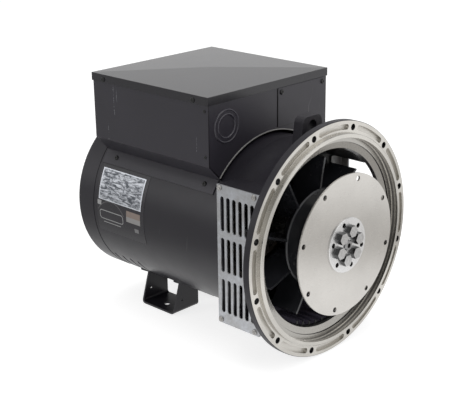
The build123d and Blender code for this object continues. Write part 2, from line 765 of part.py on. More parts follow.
# ---------------------------------------------------------------- side guards
SLOT_COLUMNS = 6
SLOT_COLUMN_X0 = -98.5
SLOT_COLUMN_PITCH = 13.1
SLOT_ROWS_Z = [65.0, -5.5, -77.5]
SLOT_SIZE = (59.0, 8.0)
GUARD_CORNER_R = 2.0
OUTLET_CORNER_R = 3.0
GUARD_HEAD_R = 5.0
GUARD_HEAD_H = 3.0
GUARD_SCREW_L = 5.0
OUTLET_X0 = -91.0
OUTLET_X1 = -27.0
OUTLET_TOP_Z = 94.0
OUTLET_LOW_Z = -107.0
guard_centre = ((GUARD_X0 + GUARD_X1) / 2, (GUARD_TOP_Z + GUARD_LOW_Z) / 2)
guard_size = (GUARD_X1 - GUARD_X0, GUARD_TOP_Z - GUARD_LOW_Z)
outlet_centre = ((OUTLET_X0 + OUTLET_X1) / 2, (OUTLET_TOP_Z + OUTLET_LOW_Z) / 2)
outlet_size = (OUTLET_X1 - OUTLET_X0, OUTLET_TOP_Z - OUTLET_LOW_Z)

with BuildPart() as air_grille:
    with BuildSketch(Plane.XZ.offset(DUCT_HALF_Y)):
        with Locations(guard_centre):
            RectangleRounded(*guard_size, GUARD_CORNER_R)
        for column in range(SLOT_COLUMNS):
            for z in SLOT_ROWS_Z:
                with Locations((SLOT_COLUMN_X0 + SLOT_COLUMN_PITCH * column, z)):
                    SlotOverall(*SLOT_SIZE, rotation=90, mode=Mode.SUBTRACT)
        with Locations(GUARD_SCREWS):
            Circle(SCREW_HOLE_R, mode=Mode.SUBTRACT)
    extrude(amount=GUARD_T)
write(air_grille, "air_grille")

with BuildPart() as air_outlet_frame:
    with BuildSketch(Plane.XZ.offset(-DUCT_HALF_Y)):
        with Locations(guard_centre):
            RectangleRounded(*guard_size, GUARD_CORNER_R)
        with Locations(outlet_centre):
            RectangleRounded(*outlet_size, OUTLET_CORNER_R, mode=Mode.SUBTRACT)
        with Locations(GUARD_SCREWS):
            Circle(SCREW_HOLE_R, mode=Mode.SUBTRACT)
    extrude(amount=-GUARD_T)
write(air_outlet_frame, "air_outlet_frame")

with BuildPart() as guard_screws:
    for side in (1, -1):
        with BuildSketch(Plane.XZ.offset(side * (DUCT_HALF_Y + GUARD_T))):
            with Locations(GUARD_SCREWS):
                Circle(GUARD_HEAD_R)
        extrude(amount=side * GUARD_HEAD_H)
        with BuildSketch(Plane.XZ.offset(side * (DUCT_HALF_Y + GUARD_T))):
            with Locations(GUARD_SCREWS):
                Circle(SCREW_R)
        extrude(amount=-side * (GUARD_T + GUARD_SCREW_L))
    heads = guard_screws.faces().sort_by(Axis.Y)
    chamfer((heads[:4] + heads[-4:]).edges(), 1)
write(guard_screws, "guard_screws")

# ---------------------------------------------------------------- feet
FOOT_Y_IN = -24.0
FOOT_Y_LOW = -87.0
FOOT_Y_TOP = -66.0
FOOT_HOLE_Y = -63.0
FOOT_HOLE_R = 6.0
FOOT_BEND_R = 8.0
FOOT_TOP_Z = -120.0
FOOT_TRIM_Z = -130.0
WALL_HOLE_POINT = (-65.0, -176.0)
WALL_HOLE_R = 2.5
foot_length = FOOT_X1 - FOOT_X0
foot_mid_x = (FOOT_X0 + FOOT_X1) / 2

with BuildPart() as foot_left:
    # pressed channel, open at both ends
    with BuildSketch(Plane.XZ.offset(-FOOT_Y_IN)) as channel:
        with Locations((foot_mid_x, (FEET_Z + FOOT_TOP_Z) / 2)):
            Rectangle(foot_length, FOOT_TOP_Z - FEET_Z)
        fillet(channel.vertices().group_by(Axis.Y)[0], FOOT_BEND_R)
    extrude(amount=-FOOT_Y_LOW + FOOT_Y_IN)
    with BuildSketch(Plane.XZ.offset(-FOOT_Y_IN - 1)) as hollow:
        with Locations((foot_mid_x, (FEET_Z + FOOT_T + FOOT_TOP_Z + 10) / 2)):
            Rectangle(foot_length - 2 * FOOT_T, FOOT_TOP_Z + 10 - FEET_Z - FOOT_T)
        fillet(hollow.vertices().group_by(Axis.Y)[0], FOOT_BEND_R - FOOT_T)
    extrude(amount=-FOOT_Y_LOW + FOOT_Y_IN + 2, mode=Mode.SUBTRACT)
    # side outline, leaning inwards towards the casing
    with BuildSketch(yz(FOOT_X0 - 1)):
        with BuildLine():
            Polyline(
                (FOOT_Y_IN, FEET_Z - 1),
                (FOOT_Y_LOW, FEET_Z - 1),
                (FOOT_Y_LOW, FEET_Z + 2),
                (FOOT_Y_TOP, FOOT_TRIM_Z),
                (FOOT_Y_IN, FOOT_TRIM_Z),
                close=True,
            )
        make_face()
    extrude(amount=foot_length + 2, mode=Mode.INTERSECT)
    # saddle against the casing
    with BuildSketch(yz(FOOT_X0 - 1)):
        Circle(CASING_R)
    extrude(amount=foot_length + 2, mode=Mode.SUBTRACT)
    with BuildSketch(Plane.XY.offset(FEET_Z)):
        with Locations((foot_mid_x, FOOT_HOLE_Y)):
            Circle(FOOT_HOLE_R)
    extrude(amount=FOOT_T, mode=Mode.SUBTRACT)
    with BuildSketch(yz(FOOT_X0 - 1)):
        with Locations(WALL_HOLE_POINT):
            Circle(WALL_HOLE_R)
    extrude(amount=foot_length + 2, mode=Mode.SUBTRACT)
write(foot_left, "foot_left")

with BuildPart() as foot_right:
    mirror(foot_left.part, about=Plane.XZ)
write(foot_right, "foot_right")

# ---------------------------------------------------------------- terminal box
BOX_TOP_Z = LID_EDGE_Z - 1.5
BOX_LOW_HALF_Y = 119.8
BOX_LOW_Z = 102.7
STRIP_R = CASING_R + 0.2
STRIP_START = degrees(atan2(BOX_LOW_Z, BOX_LOW_HALF_Y))
STRIP_SIZE = -9.5
STRIP_FRONT_X = -143.0
ARCH_R = 163.5
LID_T = 1.2
KNOCKOUT_POINT = (-105.0, 192.5)
KNOCKOUT_R = 27.0
KNOCKOUT_INNER_R = 20.0
KNOCKOUT_H = 1.2
COVER_PLATE_Y = (19.0, 141.0)
COVER_PLATE_Z = (165.0, 232.0)
COVER_PLATE_T = 1.2
COVER_PLATE_LAP = (26.0, 30.0)
TRIM_HALF_Y = 108.0
TRIM_LIP = 1.2
box_length = BOX_X1 - BOX_X0

for side, node in ((-1, "box_side_left"), (1, "box_side_right")):
    # one folded sheet: upright wall, sloping skirt and a strip that hugs the casing
    wall_y = side * BOX_HALF_Y
    skirt_y = side * BOX_LOW_HALF_Y
    strip_a = STRIP_START if side > 0 else 180 - STRIP_START
    strip_turn = STRIP_SIZE * side
    strip = ring_sector(STRIP_R, STRIP_R + SHEET, strip_a, strip_turn)
    with BuildPart() as box_side:
        with BuildSketch(yz(BOX_X0)):
            with BuildLine():
                Polyline(
                    (wall_y, BOX_TOP_Z),
                    (wall_y, BOX_FOLD_Z),
                    polar(STRIP_R + SHEET, strip_a),
                    polar(STRIP_R, strip_a),
                    (wall_y - side * SHEET, BOX_FOLD_Z + 0.6),
                    (wall_y - side * SHEET, BOX_TOP_Z),
                    close=True,
                )
            make_face()
        extrude(amount=box_length)
        with BuildSketch(yz(BOX_X0)):
            add(strip)
        extrude(amount=STRIP_FRONT_X - BOX_X0)
        for x in STRIP_SCREW_X:
            direction = Vector(0, *polar(1, strip_angles[0 if side > 0 else 1]))
            with BuildSketch(Plane(origin=Vector(x, 0, 0) + direction * (STRIP_R + 2), z_dir=direction)):
                Circle(SCREW_HOLE_R)
            extrude(amount=-6, mode=Mode.SUBTRACT)
    write(box_side, node)

inner_half_y = BOX_HALF_Y - SHEET - 0.1
panel_outline = [
    (-inner_half_y, BOX_TOP_Z),
    (-inner_half_y, BOX_FOLD_Z + 1.5),
    (-BOX_LOW_HALF_Y + 0.6, BOX_LOW_Z + 2.5),
    (BOX_LOW_HALF_Y - 0.6, BOX_LOW_Z + 2.5),
    (inner_half_y, BOX_FOLD_Z + 1.5),
    (inner_half_y, BOX_TOP_Z),
]
cover_plate_centre = (sum(COVER_PLATE_Y) / 2, sum(COVER_PLATE_Z) / 2)
cover_plate_size = (COVER_PLATE_Y[1] - COVER_PLATE_Y[0], COVER_PLATE_Z[1] - COVER_PLATE_Z[0])
panel_opening_size = (cover_plate_size[0] - COVER_PLATE_LAP[0], cover_plate_size[1] - COVER_PLATE_LAP[1])
cover_plate_screws_at = [(COVER_PLATE_Y[0] + 9, 224.5), (COVER_PLATE_Y[1] - 6, 224.5)]

with BuildPart() as box_front_panel:
    with BuildSketch(yz(BOX_X1 - SHEET)):
        with BuildLine():
            Polyline(*panel_outline, close=True)
        make_face()
        Circle(ARCH_R, mode=Mode.SUBTRACT)
        # opening behind the removable plate
        with Locations(cover_plate_centre):
            RectangleRounded(*panel_opening_size, 4, mode=Mode.SUBTRACT)
        with Locations(cover_plate_screws_at):
            Circle(SCREW_HOLE_R, mode=Mode.SUBTRACT)
    extrude(amount=SHEET)
    # pressed ring of the cable knockout
    with BuildSketch(yz(BOX_X1)):
        with Locations(KNOCKOUT_POINT):
            Circle(KNOCKOUT_R)
            Circle(KNOCKOUT_INNER_R, mode=Mode.SUBTRACT)
    extrude(amount=KNOCKOUT_H)
write(box_front_panel, "box_front_panel")

with BuildPart() as box_rear_panel:
    with BuildSketch(yz(BOX_X0)):
        with BuildLine():
            Polyline(*panel_outline, close=True)
        make_face()
        Circle(STRIP_R, mode=Mode.SUBTRACT)
    extrude(amount=SHEET)
write(box_rear_panel, "box_rear_panel")

with BuildPart() as arch_trim:
    # edging pressed over the rim of the arch
    with BuildSketch(Plane.XZ):
        with Locations((BOX_X1 - SHEET / 2, ARCH_R - TRIM_LIP)):
            RectangleRounded(SHEET + 2 * TRIM_LIP, 2 * TRIM_LIP, 1)
    revolve(axis=Axis.X, revolution_arc=90 - degrees(asin(TRIM_HALF_Y / ARCH_R)))
    mirror(arch_trim.part, about=Plane.XZ)
write(arch_trim, "arch_trim")

with BuildPart() as box_cover_plate:
    with BuildSketch(yz(BOX_X1)):
        with Locations(cover_plate_centre):
            RectangleRounded(*cover_plate_size, 1.5)
        with Locations(cover_plate_screws_at):
            Circle(SCREW_HOLE_R, mode=Mode.SUBTRACT)
    extrude(amount=COVER_PLATE_T)
write(box_cover_plate, "box_cover_plate")


def roofed_block(inset, low_z):
    """Closed block with a low four-sided roof, drawn in by inset on every face."""
    x0 = LID_X0 + inset
    x1 = LID_X1 - inset
    half_y = LID_HALF_Y - inset
    edge_z = LID_EDGE_Z - inset
    apex = Vector((LID_X0 + LID_X1) / 2, 0, LID_APEX_Z - inset)
    corners = [
        Vector(x0, -half_y, edge_z),
        Vector(x1, -half_y, edge_z),
        Vector(x1, half_y, edge_z),
        Vector(x0, half_y, edge_z),
    ]
    with BuildPart() as block:
        with BuildSketch(Plane.XY.offset(low_z)):
            with Locations((apex.X, 0)):
                Rectangle(x1 - x0, 2 * half_y)
        extrude(amount=apex.Z + 1 - low_z)
        for i in range(4):
            along = corners[(i + 1) % 4] - corners[i]
            outward = along.cross(apex - corners[i])
            split(bisect_by=Plane(origin=apex, x_dir=along, z_dir=outward), keep=Keep.BOTTOM)
    return block.part


lid_outside = roofed_block(0, LID_EDGE_Z - LID_SKIRT)
lid_inside = roofed_block(LID_T, LID_EDGE_Z - LID_SKIRT - 1)
LID_SCREW_X = [-392.5, -171.0]
LID_SCREW_Z = 238.0
HEAD_R = 4.5
HEAD_H = 2.2

with BuildPart() as box_lid:
    add(lid_outside)
    add(lid_inside, mode=Mode.SUBTRACT)
    with BuildSketch(Plane.XZ):
        with Locations([(x, LID_SCREW_Z) for x in LID_SCREW_X]):
            Circle(SCREW_HOLE_R)
    extrude(amount=LID_HALF_Y + 1, both=True, mode=Mode.SUBTRACT)
write(box_lid, "box_lid")

# ---------------------------------------------------------------- box fixings
RIVET_POINTS = [(-146.0, 223.0), (-146.0, 147.0)]
RIVET_R = 3.0
RIVET_H = 1.4

with BuildPart() as lid_screws:
    for side in (1, -1):
        with BuildSketch(Plane.XZ.offset(side * LID_HALF_Y)):
            with Locations([(x, LID_SCREW_Z) for x in LID_SCREW_X]):
                Circle(HEAD_R)
        extrude(amount=side * HEAD_H)
        with BuildSketch(Plane.XZ.offset(side * LID_HALF_Y)):
            with Locations([(x, LID_SCREW_Z) for x in LID_SCREW_X]):
                Circle(SCREW_R)
        extrude(amount=-side * (LID_T + 0.2))
write(lid_screws, "lid_screws")

with BuildPart() as panel_rivets:
    for side in (1, -1):
        with BuildSketch(Plane.XZ.offset(side * BOX_HALF_Y)):
            with Locations(RIVET_POINTS):
                Circle(RIVET_R)
        extrude(amount=side * RIVET_H)
write(panel_rivets, "panel_rivets")

with BuildPart() as cover_plate_screws:
    with BuildSketch(yz(BOX_X1 + COVER_PLATE_T)):
        with Locations(cover_plate_screws_at):
            Circle(HEAD_R)
    extrude(amount=HEAD_H)
    with BuildSketch(yz(BOX_X1 + COVER_PLATE_T)):
        with Locations(cover_plate_screws_at):
            Circle(SCREW_R)
    extrude(amount=-COVER_PLATE_T - SHEET - 3)
write(cover_plate_screws, "cover_plate_screws")

with BuildPart() as strip_screws:
    for angle in strip_angles:
        direction = Vector(0, *polar(1, angle))
        for x in STRIP_SCREW_X:
            seat = Plane(origin=Vector(x, 0, 0) + direction * (STRIP_R + SHEET), z_dir=direction)
            with BuildSketch(seat):
                Circle(HEAD_R)
            extrude(amount=HEAD_H + 0.2)
            with BuildSketch(seat):
                Circle(SCREW_R)
            extrude(amount=-SHEET - 4)
write(strip_screws, "strip_screws")

# ---------------------------------------------------------------- inside the terminal box
BOARD_Z = 172.0
BOARD_X = -230.0
BOARD_SIZE = (70.0, 130.0)
BOARD_T = 10.0
PILLAR_R = 6.0
STUD_NUT_AF_R = 6.5
STUD_NUT_H = 6.0
STUD_R = 4.0
STUD_H = 12.0
REGULATOR_X = -375.0
REGULATOR_SIZE = (70.0, 100.0)
REGULATOR_H = 38.0

with BuildPart() as terminal_board:
    with BuildSketch(Plane.XY.offset(BOARD_Z)):
        with Locations((BOARD_X, 0)):
            RectangleRounded(*BOARD_SIZE, 4)
    extrude(amount=BOARD_T)
    with BuildSketch(Plane.XY.offset(BOARD_Z)):
        with Locations((BOARD_X, 0)):
            with GridLocations(50, 24, 2, 2):
                Circle(PILLAR_R)
    extrude(amount=-20)
    with BuildSketch(yz(BOARD_X - BOARD_SIZE[0] / 2 - 5)):
        Circle(CASING_R + 0.1)
    extrude(amount=BOARD_SIZE[0] + 10, mode=Mode.SUBTRACT)
write(terminal_board, "terminal_board")

with BuildPart() as terminal_studs:
    with BuildSketch(Plane.XY.offset(BOARD_Z + BOARD_T)):
        with Locations((BOARD_X, 0)):
            with GridLocations(36, 36, 2, 3):
                RegularPolygon(STUD_NUT_AF_R, 6, major_radius=False)
    extrude(amount=STUD_NUT_H)
    with BuildSketch(Plane.XY.offset(BOARD_Z + BOARD_T + STUD_NUT_H)):
        with Locations((BOARD_X, 0)):
            with GridLocations(36, 36, 2, 3):
                Circle(STUD_R)
    extrude(amount=STUD_H)
write(terminal_studs, "terminal_studs")

with BuildPart() as voltage_regulator:
    with BuildSketch(Plane.XY.offset(CASING_R - 6)):
        with Locations((REGULATOR_X, 0)):
            RectangleRounded(*REGULATOR_SIZE, 5)
    extrude(amount=REGULATOR_H)
    with BuildSketch(yz(REGULATOR_X - REGULATOR_SIZE[0] / 2 - 5)):
        Circle(CASING_R + 0.1)
    extrude(amount=REGULATOR_SIZE[0] + 10, mode=Mode.SUBTRACT)
write(voltage_regulator, "voltage_regulator")

# ---------------------------------------------------------------- rating label
LABEL_R = CASING_R + 0.05
LABEL_T = 0.3
LABEL_X = (-418.0, -292.0)
LABEL_START = 149.6
LABEL_SIZE = 45.4
PLATE_X = (-413.0, -300.5)
PLATE_START = 151.8
PLATE_SIZE = 21.1
label_band = ring_sector(LABEL_R, LABEL_R + LABEL_T, LABEL_START, LABEL_SIZE)
plate_band = ring_sector(LABEL_R + LABEL_T, LABEL_R + 2 * LABEL_T, PLATE_START, PLATE_SIZE)

with BuildPart() as rating_label:
    with BuildSketch(yz(LABEL_X[0])):
        add(label_band)
    extrude(amount=LABEL_X[1] - LABEL_X[0])
write(rating_label, "rating_label")

with BuildPart() as data_plate:
    with BuildSketch(yz(PLATE_X[0])):
        add(plate_band)
    extrude(amount=PLATE_X[1] - PLATE_X[0])
write(data_plate, "data_plate")
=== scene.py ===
import json
import random
from math import cos, pi, radians, sin

import bmesh
import bpy
from mathutils import Matrix, Vector


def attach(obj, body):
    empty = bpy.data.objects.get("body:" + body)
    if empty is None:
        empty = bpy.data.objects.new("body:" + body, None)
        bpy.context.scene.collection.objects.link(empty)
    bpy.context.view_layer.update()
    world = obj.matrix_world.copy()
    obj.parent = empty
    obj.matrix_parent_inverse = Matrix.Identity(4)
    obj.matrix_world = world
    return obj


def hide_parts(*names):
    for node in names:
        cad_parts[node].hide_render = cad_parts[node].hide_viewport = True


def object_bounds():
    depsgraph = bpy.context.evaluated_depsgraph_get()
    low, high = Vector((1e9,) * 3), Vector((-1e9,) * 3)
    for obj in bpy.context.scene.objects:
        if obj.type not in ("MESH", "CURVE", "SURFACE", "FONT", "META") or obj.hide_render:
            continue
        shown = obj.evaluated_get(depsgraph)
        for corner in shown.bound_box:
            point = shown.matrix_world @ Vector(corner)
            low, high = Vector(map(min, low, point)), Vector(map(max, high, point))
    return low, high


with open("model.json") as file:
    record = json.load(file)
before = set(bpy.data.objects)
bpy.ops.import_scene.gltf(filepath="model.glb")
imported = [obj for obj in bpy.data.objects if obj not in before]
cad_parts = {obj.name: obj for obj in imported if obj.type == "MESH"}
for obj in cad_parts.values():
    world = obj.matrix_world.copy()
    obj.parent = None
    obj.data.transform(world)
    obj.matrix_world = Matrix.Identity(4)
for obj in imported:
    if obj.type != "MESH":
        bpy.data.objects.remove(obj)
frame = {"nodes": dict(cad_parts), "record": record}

# The row frame is in metres: +X along the shaft towards the engine, +Z up.
# Angles about the shaft run from +Y towards +Z.
MM = 0.001
CAD_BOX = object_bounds()
FLOOR_Z = CAD_BOX[0][2]
NODES = frame["nodes"]

# camera, solved from the flange and disc bolt circles
CAMERA_AT = Vector((1.08736, -1.35331, 0.66855))
CAMERA_AZIMUTH = radians(43.99)
CAMERA_ELEVATION = radians(19.53)
CAMERA_ROLL = radians(-0.68)
CAMERA_LENS = 85.14

# places repeated from the CAD, in millimetres and degrees
CASING_R = 156.0
GUARD_FACE_Y = 158.0
GUARD_SCREWS_AT = [(-104.0, 108.0), (-29.0, 108.0), (-104.0, -121.0), (-29.0, -121.0)]
LID_FACE_Y = 148.0
LID_SCREW_X = [-392.5, -171.0]
LID_SCREW_Z = 238.0
BOX_SIDE_Y = 146.5
RIVETS_AT = [(-146.0, 223.0), (-146.0, 147.0)]
STRIP_SEAT_R = 157.7
STRIP_SCREW_X = [-391.0, -168.7]
STRIP_SCREW_ANGLES = [36, 144]
COVER_SCREW_X = -136.8
COVER_SCREWS_AT = [(28.0, 224.5), (135.0, 224.5)]
KNOCKOUT_AT = (-138.0, -105.0, 192.5)
FOOT_WALLS_X = [-385.0, -298.0]
FOOT_ANGLES = (-122.6, -99.2)
BOLT_CIRCLE_R = 190.5
BOLT_HOLE_R = 5.5
BOLT_PITCH = 30.0


# ---------------------------------------------------------------- material tools
class Graph:
    """Nodes of a material or world under construction, with short calls for those used here."""

    def __init__(self, owner, shader="Principled BSDF", place="Object"):
        owner.use_nodes = True
        self.owner = owner
        self.tree = owner.node_tree
        self.shader = self.tree.nodes[shader]
        self.place = self.add("TexCoord").outputs[place]

    def add(self, kind, settings=None, inputs=None):
        """A new node with its settings and its inputs, each a value or another node's output."""
        node = self.tree.nodes.new("ShaderNode" + kind)
        for key, value in (settings or {}).items():
            setattr(node, key, value)
        for key, value in (inputs or {}).items():
            self.put(node.inputs[key], value)
        return node

    def put(self, socket, value):
        if isinstance(value, bpy.types.NodeSocket):
            self.tree.links.new(value, socket)
        else:
            socket.default_value = value

    def set(self, **inputs):
        """Values or outputs for the shader's own sockets; underscores stand for spaces."""
        for key, value in inputs.items():
            self.put(self.shader.inputs[key.replace("_", " ")], value)

    def math(self, operation, a, b=0.0, clamp=False):
        node = self.add("Math", {"operation": operation, "use_clamp": clamp}, {0: a, 1: b})
        return node.outputs[0]

    def length(self, a, b):
        return self.math("SQRT", self.math("ADD", self.both(a, a), self.both(b, b)))

    def apart(self, a, b):
        return self.math("ABSOLUTE", self.math("SUBTRACT", a, b))

    def split(self, vector=None):
        return self.add("SeparateXYZ", inputs={0: vector or self.place}).outputs

    def end_on(self):
        """How squarely a face looks along the shaft: 1 on end faces, 0 on round walls."""
        normal = self.add("NewGeometry").outputs["Normal"]
        return self.math("ABSOLUTE", self.split(normal)[0])

    def radius(self):
        """Distance from the shaft axis."""
        _, y, z = self.split()
        flat = self.add("CombineXYZ", inputs={1: y, 2: z}).outputs[0]
        return self.add("VectorMath", {"operation": "LENGTH"}, {0: flat}).outputs["Value"]

    def noise(self, scale, detail, roughness, distortion=0.0, place=None, stretch=None):
        source = place or self.place
        if stretch:
            settings = {"operation": "MULTIPLY"}
            source = self.add("VectorMath", settings, {0: source, 1: stretch}).outputs[0]
        inputs = {"Vector": source, "Scale": scale, "Detail": detail}
        inputs |= {"Roughness": roughness, "Distortion": distortion}
        return self.add("TexNoise", inputs=inputs).outputs["Fac"]

    def remap(self, value, low, high, to_low=0.0, to_high=1.0, smooth=False):
        settings = {"interpolation_type": "SMOOTHSTEP" if smooth else "LINEAR"}
        inputs = {"Value": value, "From Min": low, "From Max": high}
        inputs |= {"To Min": to_low, "To Max": to_high}
        return self.add("MapRange", settings, inputs).outputs[0]

    def mix(self, share, a, b):
        """Colour a where share is 0 and b where it is 1."""
        node = self.add("Mix", {"data_type": "RGBA"}, {0: share})
        self.put(node.inputs[6], a)
        self.put(node.inputs[7], b)
        return node.outputs[2]

    def blend(self, share, a, b):
        """Number a where share is 0 and b where it is 1."""
        node = self.add("Mix", {"data_type": "FLOAT"}, {0: share})
        self.put(node.inputs[2], a)
        self.put(node.inputs[3], b)
        return node.outputs[0]

    def bump(self, height, strength, distance, under=None):
        inputs = {"Height": height, "Strength": strength, "Distance": distance}
        if under:
            inputs["Normal"] = under
        return self.add("Bump", inputs=inputs).outputs[0]

    def above(self, value, level, soft):
        """1 past level and 0 before it, changing over soft on either side."""
        return self.remap(value, level - soft, level + soft)

    def below(self, value, level, soft):
        """0 past level and 1 before it, changing over soft on either side."""
        return self.remap(value, level + soft, level - soft)

    def near(self, value, centre, half, soft):
        """1 within half of centre, falling to 0 over soft."""
        return self.remap(self.apart(value, centre), half + soft, half)

    def between(self, value, low, high, soft):
        """1 from low to high, falling to 0 over soft."""
        return self.near(value, (low + high) / 2, (high - low) / 2, soft)

    def both(self, first, *others):
        """The product, which is 1 only where every share is 1."""
        for other in others:
            first = self.math("MULTIPLY", first, other)
        return first

    def without(self, share, taken):
        """share, less the places where taken is 1."""
        return self.both(share, self.math("SUBTRACT", 1.0, taken))

    def angle(self):
        """Angle about the shaft in degrees, from +Y towards +Z, 0 to 360."""
        _, y, z = self.split()
        turn = self.math("DEGREES", self.math("ARCTAN2", z, y))
        return self.math("FLOORED_MODULO", turn, 360.0)

    def scratches(self, scale, width, stretch):
        """1 on a few thin broken lines, 0 elsewhere."""
        line = self.noise(scale, 2, 0.5, 0.4, stretch=stretch)
        thin = self.remap(self.apart(line, 0.5), width, 0.0)
        patch = self.remap(self.noise(scale * 1.7, 2, 0.6), 0.62, 0.68)
        return self.math("MULTIPLY", thin, patch, clamp=True)


def new_material(name):
    return Graph(bpy.data.materials.new(name))


VIOLET = (1.0, 0.95, 1.11)
COOL = (0.985, 1.0, 1.03)
WARM = (1.012, 1.0, 0.985)
STRAW = (1.015, 1.0, 0.97)
PLAIN = (1.0, 1.0, 1.0)


def grey(level, hue=PLAIN):
    """Linear colour of an sRGB grey from 0 to 255, leaning towards a hue."""
    shown = [min(level * h / 255, 1.0) for h in hue]
    return (*[((s + 0.055) / 1.055) ** 2.4 for s in shown], 1)


# ---------------------------------------------------------------- materials
# where painted shade and scuffs change on the casing and the box, in metres
CASING_REAR_X = -0.4265
CASING_INSIDE_R = 0.1554
BOX_LEFT_Y = -0.1462
BOX_FRONT_X = -0.1390
BOX_CORNER_Y = 0.1450
COVER_PLATE_Y = (0.0185, 0.1415)
COVER_PLATE_Z = (0.1645, 0.2325)
# x, lower end, upper end and strength of each rubbed stroke
BOX_SCUFFS = [
    (-0.368, 0.180, 0.232, 0.8),
    (-0.360, 0.205, 0.236, 0.45),
    (-0.386, 0.128, 0.160, 0.6),
    (-0.166, 0.150, 0.175, 0.35),
]


def coated(name, level, roughness, specular, scuffs, peel=0.05, sway=0.035, boxed=False):
    """Black coating on sheet metal: fine orange peel, a few pale scuffs and specks of dust; on the
    box painted shadow in its seams, elsewhere painted shade inside the casing.
    """
    g = new_material(name)
    cloud = g.remap(g.noise(9, 3, 0.5), 0.35, 0.7)
    tone = g.mix(cloud, grey(level * 0.96, VIOLET), grey(level * 1.05, VIOLET))
    marks = g.both(g.scratches(9, 0.004, (1.0, 1.0, 0.35)), scuffs)
    dust = g.both(g.remap(g.noise(900, 1, 0.5), 0.72, 0.78), 0.3 * scuffs)
    colour = g.mix(g.math("ADD", marks, dust, clamp=True), tone, grey(120))
    if boxed:
        colour = g.mix(box_scuffs(g), colour, grey(150, COOL))
        # the seams are painted near black: painted shadow in the gaps
        colour = g.mix(seam_shadow_lines(g), colour, grey(8))
    else:
        # the inside of the casing, behind its vents, is painted near black: painted shade
        ahead = g.above(g.split()[0], CASING_REAR_X, 0.0003)
        inside = g.both(ahead, g.below(g.radius(), CASING_INSIDE_R, 0.0002))
        colour = g.mix(inside, colour, grey(6))
    g.set(Base_Color=colour, Specular_IOR_Level=specular)
    g.set(Roughness=g.remap(g.noise(30, 4, 0.6), 0.3, 0.7, roughness - sway, roughness + sway))
    g.set(Normal=g.bump(g.noise(1400, 2, 0.5), peel, 0.0003))
    return g.owner


def box_scuffs(g):
    """Broken pale strokes rubbed down the left side of the box."""
    x, y, z = g.split()
    drift = g.both(g.math("SUBTRACT", g.noise(30, 2, 0.5), 0.5), 0.004)
    wander = g.math("ADD", x, drift)
    broken = g.remap(g.noise(420, 2, 0.6), 0.50, 0.60)
    strokes = 0.0
    for at, low, high, share in BOX_SCUFFS:
        stroke = g.both(g.near(wander, at, 0.0005, 0.0006), g.between(z, low, high, 0.004), share)
        strokes = g.math("MAXIMUM", strokes, stroke)
    return g.both(strokes, broken, g.below(y, BOX_LEFT_Y, 0.0002))


def seam_shadow_lines(g):
    """Painted shadow in the gaps of the box: down its front corners and along the edges of the
    cover plate.
    """
    x, y, z = g.split()
    near_edge, far_edge = COVER_PLATE_Y
    foot, top = COVER_PLATE_Z
    on_front = g.above(x, BOX_FRONT_X, 0.0002)
    corner = g.both(on_front, g.near(g.math("ABSOLUTE", y), BOX_CORNER_Y, 0.0004, 0.0003))
    plate_side = g.both(g.near(y, near_edge, 0.0005, 0.0003), g.between(z, foot, top, 0.0003))
    plate_foot = g.both(g.near(z, foot, 0.0004, 0.0003), g.between(y, near_edge, far_edge, 0.0003))
    plate = g.both(on_front, g.math("MAXIMUM", plate_side, plate_foot))
    return g.math("MAXIMUM", corner, plate, clamp=True)


# where the bracket's finish, its painted shade and its painted highlight change, in metres and
# degrees
FACE_X = -0.00055
FACE_RIM_R = 0.20085
MOUTH_FLOOR_X = -0.0126
BORE_R = 0.15455
TURNED_BORE_X = -0.0270
TURNED_BORE_R = (0.15045, 0.1545)
RIB_ANGLES = (240, 300)
RIB_FRONT_X = -0.0155
RIB_TOP_X = -0.0200
POCKET_X = -0.0050
POCKET_R = 0.1850
SHADED_STEPS_X = -0.0064
SHADED_STEPS_R = 0.17475
SHADED_WALLS_X = -0.0007
SHADED_WALLS_R = 0.1756
HIGHLIGHT_EDGE_X = -0.0058
HIGHLIGHT_EDGE_R = 0.1738
SHADED_CORNER_X = -0.0086
SHADED_CORNER_R = 0.1650
INNER_SHADE_R = 0.1525


def bolt_holes(g, angle, r):
    """1 in the flange's bolt holes and a hair round them."""
    turn = g.math("SUBTRACT", g.math("DIVIDE", angle, BOLT_PITCH), 0.5)
    off = g.both(g.math("SUBTRACT", turn, g.math("ROUND", turn)), radians(BOLT_PITCH))
    across = g.both(g.math("SINE", off), BOLT_CIRCLE_R * MM)
    along = g.math("SUBTRACT", g.both(g.math("COSINE", off), r), BOLT_CIRCLE_R * MM)
    return g.below(g.length(across, along), (BOLT_HOLE_R + 0.2) * MM, 0.05 * MM)


